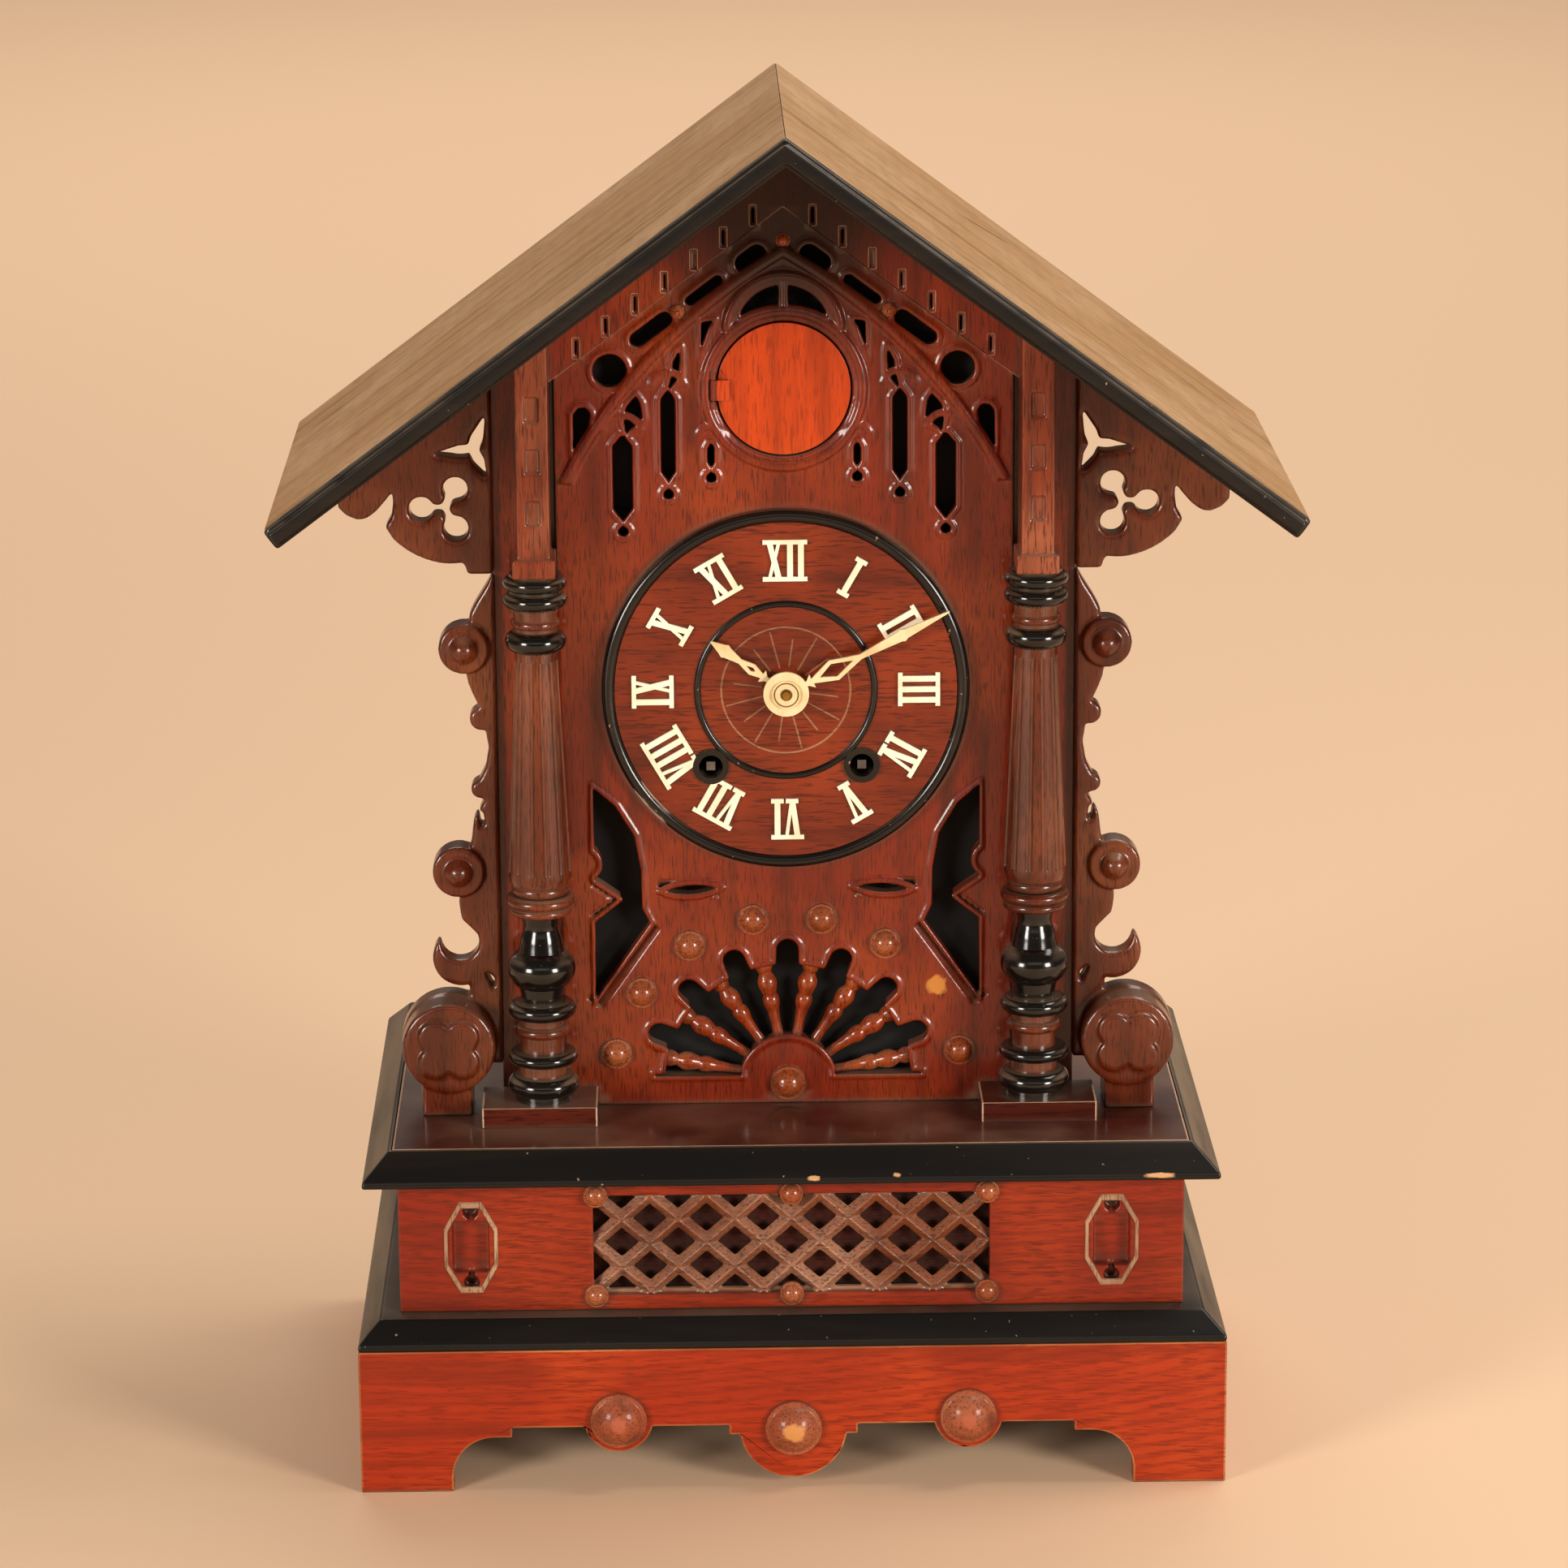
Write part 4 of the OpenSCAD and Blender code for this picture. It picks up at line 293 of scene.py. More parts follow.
# Plinth bosses
# Three buttons turned from end grain and glued along the apron's lower edge.
# Their varnish has been rubbed through, most of all on the middle one, which sits lower.
boss_wood = varnished("boss_walnut", "5E2410", "964828", "AE6844", "Y", roughness=0.5, coat=0.4)
boss_low, boss_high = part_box("plinth_bosses")
boss_drop = 0.004
boss_span = (boss_high.x - boss_low.x) / 2
boss_r = (boss_high.z - boss_low.z - boss_drop) / 2
rubbed_depth = 0.006
rubbed = (0, boss_low.y, boss_low.z + boss_r)
patch(boss_wood, rubbed, (boss_r * 0.62, rubbed_depth, boss_r * 0.5), "C8884C")
for side in (-1, 1):
    rubbed = (side * (boss_span - boss_r), boss_low.y, boss_high.z - boss_r)
    patch(boss_wood, rubbed, (boss_r * 0.4, rubbed_depth, boss_r * 0.45), "A8583C")
bosses = eased("plinth_bosses", "plinth_buttons", boss_wood, edge=0.0005)
finished(bosses, "case", "turned_wood", "plinth_bosses")


# Black mouldings
# Two sloping ledges round the base and the strip along the roof's front edge, ebonised.
# Thin black lacquer over a pale wood, which shows where the corners and the lip have chipped.
def ebonised(name, roughness=0.4, coat=0.4, dust=0.6):
    finish, place = new_finish(name)
    streaks = speckle(finish, stretched(finish, place, (14.0, 14.0, 160.0)), 1.0, 4.0)
    colour = layer(finish, fade(finish, streaks, 0.4, 0.8), paint("0B0908"), paint("18130F"))
    specks = fade(finish, speckle(finish, place, 420.0, 2.0), 0.735, 0.76)
    colour = layer(finish, specks, colour, paint("8C7660"))
    faces = facing(finish)
    level = fade(finish, faces["Z"], 0.86, 1.0)
    sideways = fade(finish, maths(finish, "ABSOLUTE", faces["X"]), 0.35, 0.6)
    side_slope = times(finish, sideways, fade(finish, faces["Z"], 0.3, 0.6))
    lying = times(finish, maths(finish, "MAXIMUM", level, side_slope),
                  fade(finish, streaks, 0.2, 0.7))
    corners = times(finish, outside(finish, fade(finish, hollows(finish, 0.005), 0.3, 0.55)), 0.6)
    settled = times(finish, maths(finish, "MAXIMUM", lying, corners), dust)
    coloured(finish, layer(finish, settled, colour, paint("7C6A58")))
    roughened(finish, streaks, 0.2, 0.0003)
    polished(finish, roughness, coat, 0.14)
    return finish


black_ledge = ebonised("ebonised_ledge")
bare_wood = "C89A6C"
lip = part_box("upper_moulding")[0]
lip_chips = ((0.0085, 0.0025, 0.0036), (0.0404, 0.0035, 0.0024), (0.142, 0.002, 0.0085))
for x, height, length in lip_chips:
    patch(black_ledge, (x, lip.y, lip.z + height), (length, 0.003, 0.0014), bare_wood)
patch(black_ledge, (lip.x, lip.y, lip.z + 0.007), (0.0035, 0.006, 0.003), bare_wood)
for node, name in (("lower_moulding", "lower_ledge"), ("upper_moulding", "upper_ledge")):
    ledge = eased(node, name, black_ledge, edge=0.0009, segments=3)
    finished(ledge, "case", "ebonised", node)


# Base box
# A low box of figured walnut between the mouldings; its front has a window for the lattice
# and two sunk key-hole panels, each with an eight-sided bead planted round it.
box_wood = varnished("box_walnut", "621603", "841F05", "962E0A", "X", dust=0.3,
                     rings=(0.05, 0.0, 0.2))
box_side_wood = varnished("box_side_walnut", "561303", "781C05", "86280A", "Y", dust=0.3)
box_low, box_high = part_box("box_front")
lattice_low, lattice_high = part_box("lattice_panel")
window_z = (lattice_low.z + lattice_high.z) / 2
box_sides = eased("box_frame", "box_sides", box_side_wood, edge=0.0007)
finished(box_sides, "case", "plinth_wood", "box_frame")

keyhole_x = 0.1245
bead_half_w = 0.0105
bead_half_h = 0.0188
bead_r = 0.0008
bead_wood = varnished("dusty_bead", "6A4632", "A07A5E", "B89878", "Z", roughness=0.6, coat=0.2,
                      dust=0.6)
for side, name in ((-1, "left_keyhole_bead"), (1, "right_keyhole_bead")):
    bpy.ops.object.select_all(action="DESELECT")
    bpy.ops.mesh.primitive_torus_add(
        major_segments=8, minor_segments=8, major_radius=bead_half_w, minor_radius=bead_r,
        rotation=(math.pi / 2, math.pi / 8, 0))
    bead = bpy.context.object
    bead.name = name
    bpy.ops.object.transform_apply(location=False, rotation=True, scale=False)
    bead.scale = (1.0, 1.0, bead_half_h / bead_half_w)
    bead.location = (side * keyhole_x, box_low.y, window_z)
    bpy.ops.object.transform_apply()
    bead.data.materials.append(bead_wood)
    smooth_below(40)
    finished(bead, "case", "plinth_wood")


# Lattice
# A screen of ridged straps, crossed and halved together, in the window of the base box.
# The straps are dusty on their upper sides, and a dark red board closes the box behind them.
def thinned(piece, faces):
    """Takes faces out of a piece until about that many are left."""
    ratio = min(1.0, faces / len(piece.data.polygons))
    apply(piece, "DECIMATE", decimate_type="COLLAPSE", ratio=ratio)


def one_skin(piece, voxel, rounds, swell, triangles):
    """Fuses what a piece is made of, rounds its edges as a gouge leaves them, and thins it."""
    apply(piece, "REMESH", mode="VOXEL", voxel_size=voxel)
    apply(piece, "SMOOTH", factor=0.5, iterations=rounds)
    if swell:
        apply(piece, "DISPLACE", strength=swell, mid_level=0.0)
    if 2 * len(piece.data.polygons) > triangles:
        thinned(piece, triangles / 2)
    take(piece)
    bpy.ops.object.shade_smooth()


def carved(node, name, finish, voxel, rounds, swell, triangles):
    """A CAD node with every edge worked round by hand."""
    piece = copied(node, name, finish)
    one_skin(piece, voxel, rounds, swell, triangles)
    return piece


def joined(pieces, name, finish):
    bpy.ops.object.select_all(action="DESELECT")
    for piece in pieces:
        piece.select_set(True)
    whole = pieces[0]
    bpy.context.view_layer.objects.active = whole
    bpy.ops.object.join()
    whole.name = name
    bpy.ops.object.transform_apply()
    whole.data.materials.clear()
    whole.data.materials.append(finish)
    return whole


def board(name, low, high, finish, edge=0.0003):
    """A plain rectangular board between two corners, with its edges just broken."""
    bpy.ops.object.select_all(action="DESELECT")
    bpy.ops.mesh.primitive_cube_add(size=1, location=(Vector(low) + Vector(high)) / 2)
    piece = bpy.context.object
    piece.name = name
    piece.scale = Vector(high) - Vector(low)
    bpy.ops.object.transform_apply()
    piece.data.materials.append(finish)
    apply(piece, "BEVEL", width=edge, segments=1)
    return piece


box_face = carved("box_front", "box_front_boards", box_wood, voxel=0.00055, rounds=2, swell=0.0,
                  triangles=120000)
finished(box_face, "case", "plinth_wood", "box_front")
lattice_wood = varnished("lattice_walnut", "44200F", "80482C", "A4745A", "X", roughness=0.42,
                         coat=0.5, dust=1.0)
diamond_w = (lattice_high.x - lattice_low.x) / 7
diamond_h = (lattice_high.z - lattice_low.z) / 2.1
strap_lean = math.atan2(diamond_h, diamond_w)
strap_r = 0.0031
strap_length = 0.076
strap_y = lattice_low.y + strap_r
rail_half = 0.0014
straps = []
for i in range(-5, 5):
    for side in (-1, 1):
        bpy.ops.object.select_all(action="DESELECT")
        bpy.ops.mesh.primitive_cylinder_add(
            vertices=4, radius=strap_r, depth=strap_length,
            location=((i + 0.5) * diamond_w, strap_y, window_z),
            rotation=(0, math.pi / 2 + side * strap_lean, 0))
        straps.append(bpy.context.object)
for rail_z in (lattice_low.z, lattice_high.z):
    rail_low = (lattice_low.x, strap_y - 0.001, rail_z - rail_half)
    rail_high = (lattice_high.x, strap_y + 0.002, rail_z + rail_half)
    straps.append(board("rail", rail_low, rail_high, lattice_wood))
lattice = joined(straps, "lattice_screen", lattice_wood)
one_skin(lattice, voxel=0.00045, rounds=2, swell=0.0, triangles=400000)
bpy.ops.object.mode_set(mode="EDIT")
for edge, outwards in ((lattice_low, -1), (lattice_high, 1)):
    for direction in (Vector((outwards, 0, 0)), Vector((0, 0, outwards))):
        bpy.ops.mesh.select_all(action="SELECT")
        bpy.ops.mesh.bisect(plane_co=edge, plane_no=direction, clear_outer=True, use_fill=True)
bpy.ops.object.mode_set(mode="OBJECT")
thinned(lattice, 45000)
smooth_below(32)
finished(lattice, "case", "lattice_wood", "lattice_panel")
lining_wood = varnished("lining_board", "200806", "3C120A", "4E1A0E", "X", roughness=0.7,
                        coat=0.0, dust=0.2)
lining_low = (lattice_low.x - 0.004, box_high.y + 0.0006, box_low.z + 0.002)
lining_high = (lattice_high.x + 0.004, box_high.y + 0.0016, box_high.z - 0.002)
lining = board("box_lining", lining_low, lining_high, lining_wood)
finished(lining, "case", "lattice_wood")


# Deck
# The flat top of the base, of dark walnut, set inside the upper moulding; dust lies all over it
# and its rubbed edge shows as a pale line.
deck_wood = varnished("deck_walnut", "280702", "441004", "561A09", "X", roughness=0.33,
                      coat=0.9, dust=0.55)
pale_edge = varnished("dusty_edge", "A07C62", "C4A084", "D4B498", "X", roughness=0.7, coat=0.0,
                      dust=0.3)
deck = eased("deck_board", "deck_top", deck_wood, edge=0.0008, worn=pale_edge)
finished(deck, "case", "deck_wood", "deck_board")


# Front panel
# One walnut board, fretted with tracery above and a fan below, with ribs and hoods left standing
# and every edge gouged round. A lost stud of the fan has left its orange glue.
def carve_away(piece, cutter):
    """Cuts one piece with another, and throws the cutter away."""
    apply(piece, "BOOLEAN", object=cutter, operation="DIFFERENCE", solver="EXACT")
    bpy.data.objects.remove(cutter)


def standing_rib(centre, radius, thickness, low, high):
    """A round rib along a circle, kept only between two corners, all given as X and Z."""
    bpy.ops.object.select_all(action="DESELECT")
    bpy.ops.mesh.primitive_torus_add(
        major_segments=40 + int(1200 * radius), minor_segments=10, major_radius=radius,
        minor_radius=thickness, location=(centre[0], rib_y, centre[1]),
        rotation=(math.pi / 2, 0, 0))
    bpy.ops.object.transform_apply()
    bpy.ops.object.mode_set(mode="EDIT")
    for corner, outwards in ((low, -1), (high, 1)):
        for direction in ((outwards, 0, 0), (0, 0, outwards)):
            bpy.ops.mesh.select_all(action="SELECT")
            bpy.ops.mesh.bisect(plane_co=(corner[0], rib_y, corner[1]), plane_no=direction,
                                clear_outer=True, use_fill=True)
    bpy.ops.object.mode_set(mode="OBJECT")
    return bpy.context.object


def splay(piece, side, start_x, start_z, end_x, end_z, reach):
    """Planes a broad bevel along an edge of the panel's front face, on one side."""
    start = Vector((side * start_x, panel_low.y, start_z))
    end = Vector((side * end_x, panel_low.y, end_z))
    bpy.ops.object.select_all(action="DESELECT")
    bpy.ops.mesh.primitive_cylinder_add(
        vertices=4, radius=reach, depth=(end - start).length, location=(start + end) / 2,
        rotation=(0, math.atan2(end.x - start.x, end.z - start.z), 0))
    carve_away(piece, bpy.context.object)


panel_wood = varnished("panel_walnut", "461203", "742008", "8C340E", "Z", roughness=0.36,
                       coat=0.8, dust=0.9)
panel_low, panel_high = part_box("front_panel")
door_z = 0.4225
door_hole_r = 0.029
roof_slope = math.radians(36.6)
glue_spot = (0.0587, panel_low.y, 0.1839)
patch(panel_wood, glue_spot, (0.0058, 0.004, 0.0058), "C07A34")
gable_top = (0, panel_low.y, panel_high.z - 0.014)
# Painted shadow: the panel darkens towards the gable's top, where the roof's shadow falls.
painted_shadow_towards(panel_wood, gable_top, 0.03, 0.085)
panel = copied("front_panel", "front_tracery", panel_wood)
take(panel)
bpy.context.tool_settings.mesh_select_mode = (False, True, False)
bpy.ops.object.mode_set(mode="EDIT")
bpy.ops.mesh.select_all(action="DESELECT")
bpy.ops.object.mode_set(mode="OBJECT")
front_edges = {key for face in panel.data.polygons
               if face.normal.y < -0.99 and face.center.y < panel_low.y + 0.0001
               for key in face.edge_keys}
wall_edges = {key for face in panel.data.polygons if face.center.y > panel_low.y + 0.0005
              for key in face.edge_keys}
for edge in panel.data.edges:
    ends = [panel.data.vertices[i].co for i in edge.vertices]
    middle = (ends[0] + ends[1]) / 2
    outline = abs(middle.x) > panel_high.x - 0.001 or middle.z < panel_low.z + 0.001
    roof_z = panel_high.z - abs(middle.x) * math.tan(roof_slope)
    under_roof = middle.z > roof_z - 0.002
    by_door = math.hypot(middle.x, middle.z - door_z) < door_hole_r
    if edge.key in front_edges & wall_edges and not (outline or under_roof or by_door):
        edge.select = True
bpy.ops.object.mode_set(mode="EDIT")
bpy.ops.mesh.duplicate()
bpy.ops.mesh.separate(type="SELECTED")
bpy.ops.object.mode_set(mode="OBJECT")
bpy.context.tool_settings.mesh_select_mode = (True, False, False)
bead_line = next(piece for piece in bpy.context.selected_objects if piece != panel)
take(bead_line)
bpy.ops.object.convert(target="CURVE")
bead_line.data.bevel_depth = 0.001
bead_line.data.bevel_resolution = 2
bead_line.data.use_fill_caps = True
bpy.ops.object.convert(target="MESH")
opening_beads = bpy.context.object
for side in (-1, 1):
    splay(panel, side, 0.0265, 0.2238, 0.0505, 0.2248, reach=0.0038)
    splay(panel, side, 0.0526, 0.2105, 0.076, 0.1775, reach=0.0042)
    splay(panel, side, 0.065, 0.2204, 0.076, 0.212, reach=0.003)
    splay(panel, side, 0.0756, 0.228, 0.065, 0.2204, reach=0.003)
rib_y = panel_low.y + 0.0004
rib_top = 0.48
arch_x, arch_z, arch_r, arch_foot = 0.1064, 0.2903, 0.214, 0.387
ribs = [
    panel, opening_beads,
    standing_rib((arch_x, arch_z), arch_r, 0.0024, (-0.09, arch_foot), (0.0008, rib_top)),
    standing_rib((-arch_x, arch_z), arch_r, 0.0024, (-0.0008, arch_foot), (0.09, rib_top)),
    standing_rib((0, door_z + 0.0222), 0.0218, 0.002, (-0.03, door_z + 0.0235),
                 (0.03, rib_top)),
    standing_rib((0, door_z), 0.0302, 0.0019, (-0.04, 0.38), (0.04, 0.46))]
hoods = ((0.062, 0.4055, 0.0075), (0.0444, 0.4228, 0.0068), (0.028, 0.4035, 0.0052))
for x, z, r in hoods:
    for side in (-1, 1):
        ribs.append(standing_rib((side * x, z), r, 0.0013, (side * x - 0.01, z + 0.0015),
                                 (side * x + 0.01, z + 0.02)))
panel = joined(ribs, "front_tracery", panel_wood)
one_skin(panel, voxel=0.0006, rounds=5, swell=0.0003, triangles=198000)
finished(panel, "case", "carved_wood", "front_panel")
stiles = eased("front_stiles", "stiles", panel_wood, edge=0.0007)
finished(stiles, "case", "carved_wood", "front_stiles")


# Black shade sheet
# A thin black sheet behind the fretted panel, painted shade for the dark inside of the case: it
# hides the movement. It is cut out for the cuckoo door, the hands and the winding squares.
def plain_finish(name, colour, roughness):
    finish = bpy.data.materials.new(name)
    finish.use_nodes = True
    set_plain(finish, {"Base Color": paint(colour), "Roughness": roughness})
    return finish


# Painted shade: plain black where the inside of the case lies in shadow.
shade_sheet_finish = plain_finish("black_shade_sheet", "0A0808", 0.95)
dial_low, dial_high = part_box("dial_plate")
dial_z = (dial_low.z + dial_high.z) / 2
winding_x = 0.0293
winding_z = dial_z - 0.0301
shade_sheet_y = panel_high.y + 0.0002
shade_sheet_t = 0.0004
margin = 0.001
shade_sheet = board("painted_shade_sheet", (panel_low.x + margin, shade_sheet_y, panel_low.z + margin),
              (panel_high.x - margin, shade_sheet_y + shade_sheet_t, panel_high.z), shade_sheet_finish,
              edge=0.0001)
take(shade_sheet)
bpy.ops.object.mode_set(mode="EDIT")
for side in (-1, 1):
    bpy.ops.mesh.select_all(action="SELECT")
    bpy.ops.mesh.bisect(plane_co=(0, 0, panel_high.z - margin), clear_outer=True, use_fill=True,
                        plane_no=(side * math.sin(roof_slope), 0, math.cos(roof_slope)))
bpy.ops.object.mode_set(mode="OBJECT")
shade_sheet_holes = ((0, door_z, 0.0275), (0, dial_z, 0.0068), (winding_x, winding_z, 0.0062),
               (-winding_x, winding_z, 0.0062))
for x, z, r in shade_sheet_holes:
    bpy.ops.object.select_all(action="DESELECT")
    bpy.ops.mesh.primitive_cylinder_add(vertices=40, radius=r, depth=0.01,
                                        location=(x, shade_sheet_y, z), rotation=(math.pi / 2, 0, 0))
    carve_away(shade_sheet, bpy.context.object)
finished(shade_sheet, "case", "leather")


# Dentil strip
# A thin fretted strip under both roof slopes, glued on the panel, with a slot between blocks.
strip_wood = varnished("strip_walnut", "4A1404", "78220A", "90360E", "Z", coat=0.6, dust=0.5)
# Painted shadow: the strip darkens towards the gable's top, where the roof's shadow falls.
painted_shadow_towards(strip_wood, gable_top, 0.025, 0.075)
strip = eased("gable_frieze", "dentil_strip", strip_wood, edge=0.0003, worn=bead_wood)
finished(strip, "case", "carved_wood", "gable_frieze")


# Fan spindles and studs
# Eight turned spindles spread from the half disc, and round-headed studs pegged into the panel.
# Both are turned walnut with a high polish; two small knobs sit on the gable's great arch.
spindle_wood = varnished("spindle_walnut", "541806", "8C3410", "AC5220", "Z", roughness=0.28,
                         coat=1.0, dust=0.6)
stud_wood = varnished("stud_walnut", "5A220C", "904420", "A85E38", "Y", roughness=0.26,
                      coat=1.0, dust=0.4)
for node, name, finish, swell in (("fan_spindles", "fan_turnings", spindle_wood, 0.0007),
                                  ("turned_studs", "stud_heads", stud_wood, 0.0004)):
    turned = copied(node, name, finish)
    apply(turned, "DISPLACE", strength=swell, mid_level=0.0)
    smooth_below(50)
    finished(turned, "case", "turned_wood", node)
knob_r = 0.0029
knob_x = 0.0404
knob_y = panel_low.y - 0.0012
knob_z = 0.453
knobs = []
for side in (-1, 1):
    bpy.ops.object.select_all(action="DESELECT")
    bpy.ops.mesh.primitive_uv_sphere_add(segments=32, ring_count=16, radius=knob_r,
                                         location=(side * knob_x, knob_y, knob_z))
    knob = bpy.context.object
    knob.scale = (1.0, 1.15, 1.0)
    bpy.ops.object.transform_apply()
    bpy.ops.object.mode_set(mode="EDIT")
    bpy.ops.mesh.select_all(action="DESELECT")
    bpy.ops.object.mode_set(mode="OBJECT")
    for face in knob.data.polygons:
        face.select = face.center.y < knob_y - knob_r
    bpy.ops.object.mode_set(mode="EDIT")
    bpy.ops.mesh.select_mode(type="FACE")
    bpy.ops.mesh.inset(thickness=0.00025, depth=-0.0003)
    bpy.ops.mesh.inset(thickness=0.0002, depth=0.0004)
    bpy.ops.mesh.select_mode(type="VERT")
    bpy.ops.object.mode_set(mode="OBJECT")
    knobs.append(knob)
gable_knobs = joined(knobs, "gable_knobs", stud_wood)
smooth_below(30)
finished(gable_knobs, "case", "turned_wood")


# Columns
# Two turned columns with twelve flutes; the vase and the thick rings are ebonised.
# They stand on walnut blocks and carry square posts with three sunk notches.
column_wood = varnished("column_walnut", "300E03", "5C220C", "763A20", "Z", roughness=0.28,
                        coat=1.0, dust=0.6)
black_turned = ebonised("ebonised_turning", roughness=0.16, coat=1.0, dust=0.7)
column_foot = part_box("columns")[0].z
black_bands = [(-0.001, 0.0102), (0.0145, 0.0205), (0.0333, 0.0755), (0.1802, 0.1888),
               (0.1974, 0.212)]
columns = copied("columns", "turned_columns", column_wood)
columns.data.materials.append(black_turned)
for face in columns.data.polygons:
    height = face.center.z - column_foot
    face.material_index = any(low < height < high for low, high in black_bands)
smooth_below(40)
finished(columns, "case", "turned_wood", "columns")
blocks = eased("column_blocks", "column_feet", deck_wood, edge=0.0006, worn=pale_edge)
finished(blocks, "case", "carved_wood", "column_blocks")
post_wood = varnished("post_walnut", "421406", "7A3016", "985438", "Z", roughness=0.34,
                      coat=0.8, dust=0.8)
posts = carved("corner_posts", "notched_posts", post_wood, voxel=0.0006, rounds=4, swell=0.0002,
               triangles=120000)
finished(posts, "case", "carved_wood", "corner_posts")


# Eave brackets and side scrolls
# Fretted and carved walnut wings beside the case: scrolls round buttons, and a rosette block.
wing_wood = varnished("wing_walnut", "350F03", "5C220B", "763A1C", "Z", roughness=0.34,
                      coat=0.9, dust=0.7)
for node, name in (("eave_brackets", "eave_wings"), ("side_scrolls", "scroll_wings")):
    wing = carved(node, name, wing_wood, voxel=0.0007, rounds=10, swell=0.0004,
                  triangles=180000)
    finished(wing, "case", "carved_wood", node)


# Dial
# A walnut disc with a rosette scratched round the hands' axis, inside a black half-round ring.
# The inner ring and the bushes of the two winding holes are turned from ebonised wood.
dial_wood = varnished("dial_walnut", "441104", "6E2209", "862F0E", "X", roughness=0.36,
                      coat=0.7, dust=0.2)
scratched_wood = varnished("scratched_walnut", "7A4A30", "A07454", "B88C6A", "X",
                           roughness=0.6, coat=0.0)
rosette_r = 0.025
rosette_lines = 16
scratch_half = 0.00035
dial = copied("dial_plate", "dial_disc", dial_wood)
dial.data.materials.append(scratched_wood)
bpy.ops.object.select_all(action="DESELECT")
bpy.ops.mesh.primitive_torus_add(
    major_segments=72, minor_segments=4, major_radius=rosette_r, minor_radius=scratch_half,
    location=(0, dial_low.y, dial_z), rotation=(math.pi / 2, 0, 0))
bpy.context.object.data.materials.append(scratched_wood)
carve_away(dial, bpy.context.object)
for i in range(rosette_lines):
    angle = 2 * math.pi * (i + 0.35) / rosette_lines
    out, length = (0.66, 0.6) if i % 2 else (0.6, 0.44)
    middle = rosette_r * out
    place = (middle * math.sin(angle), dial_low.y, dial_z + middle * math.cos(angle))
    bpy.ops.object.select_all(action="DESELECT")
    bpy.ops.mesh.primitive_cylinder_add(
        vertices=4, radius=scratch_half * 0.9, depth=rosette_r * length, location=place,
        rotation=(0, angle, 0))
    bpy.context.object.data.materials.append(scratched_wood)
    carve_away(dial, bpy.context.object)
take(dial)
smooth_below(30)
finished(dial, "case", "dial_wood", "dial_plate")
black_ring = ebonised("ebonised_ring", roughness=0.26, coat=0.8, dust=0.35)
# A pale patch on the ring's lower left.
pale_patch_low_left = (-0.054, dial_low.y, dial_z - 0.047)
patch(black_ring, pale_patch_low_left, (0.017, 0.002, 0.017), "B89C8C", ragged=0.5)
rings = copied("dial_rings", "dial_mouldings", black_ring)
smooth_below(40)
finished(rings, "case", "ebonised", "dial_rings")


# Numerals and hands
# Roman numerals and a pair of pierced hands, sawn from thin bone and slightly rounded.
# The hands have yellowed more than the numerals; rings are turned in the hub.
def bone(name, pale, stained):
    finish, place = new_finish(name)
    stains = fade(finish, speckle(finish, place, 70.0, 4.0), 0.35, 0.75)
    colour = layer(finish, stains, paint(pale), paint(stained))
    fibres = speckle(finish, stretched(finish, place, (900.0, 900.0, 120.0)), 1.0, 2.0)
    fibre_mask = times(finish, fade(finish, fibres, 0.58, 0.75), 0.5)
    coloured(finish, layer(finish, fibre_mask, colour, paint(stained)))
    roughened(finish, fibres, 0.15, 0.0002)
    set_plain(finish, {"Roughness": 0.42, "Subsurface Weight": 0.08,
                       "Subsurface Radius": (0.002, 0.0015, 0.001)})
    return finish


white_bone = bone("numeral_bone", "FAF2DC", "E6D6B4")
yellow_bone = bone("hand_bone", "E8D4A8", "C8A870")
engraved_bone = bone("engraved_bone", "8E713F", "6E5430")
numerals = copied("dial_numerals", "bone_numerals", white_bone)
apply(numerals, "DISPLACE", strength=0.00022, mid_level=0.0)
finished(numerals, "case", "bone", "dial_numerals")
hour_hand = eased("hour_hand", "bone_hour_hand", yellow_bone, edge=0.0003)
finished(hour_hand, "hour_pipe", "bone", "hour_hand")
minute_hand = copied("minute_hand", "bone_minute_hand", yellow_bone)
minute_hand.data.materials.append(engraved_bone)
hub_face_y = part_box("minute_hand")[0].y
for ring_r in (0.0046, 0.0021):
    bpy.ops.object.select_all(action="DESELECT")
    bpy.ops.mesh.primitive_torus_add(
        major_segments=48, minor_segments=4, major_radius=ring_r, minor_radius=0.0003,
        location=(0, hub_face_y, dial_z), rotation=(math.pi / 2, 0, 0))
    bpy.context.object.data.materials.append(engraved_bone)
    carve_away(minute_hand, bpy.context.object)
take(minute_hand)
smooth_below(30)
finished(minute_hand, "centre_arbor", "bone", "minute_hand")


# Cuckoo door
# A round door of bright orange walnut with the grain upright. Its strap and the knuckles beside
# it are stained like the panel, so that the hinge hardly shows.
door_wood = varnished("cuckoo_door_walnut", "8A2C05", "BC3E08", "C84E14", "Z", coat=0.5,
                      dust=0.15)
door_place = wire(door_wood, "TexCoord").outputs["Object"]
flat_place = wire(door_wood, "VectorMath", {0: door_place, 1: (1.0, 0.0, 1.0)},
                  operation="MULTIPLY").outputs[0]
from_axis = distance_from(door_wood, flat_place, (0, 0, door_z))
laid_over(door_wood, fade(door_wood, from_axis, 0.0253, 0.0257), "6A1E08")
cuckoo_door = eased("cuckoo_door", "round_door", door_wood, edge=0.0004)
finished(cuckoo_door, "cuckoo_door", "door_wood", "cuckoo_door")
knuckles = copied("cuckoo_door_pin", "stained_knuckles", panel_wood)
smooth_below(36)
finished(knuckles, "case", "fitting_brass", "cuckoo_door_pin")


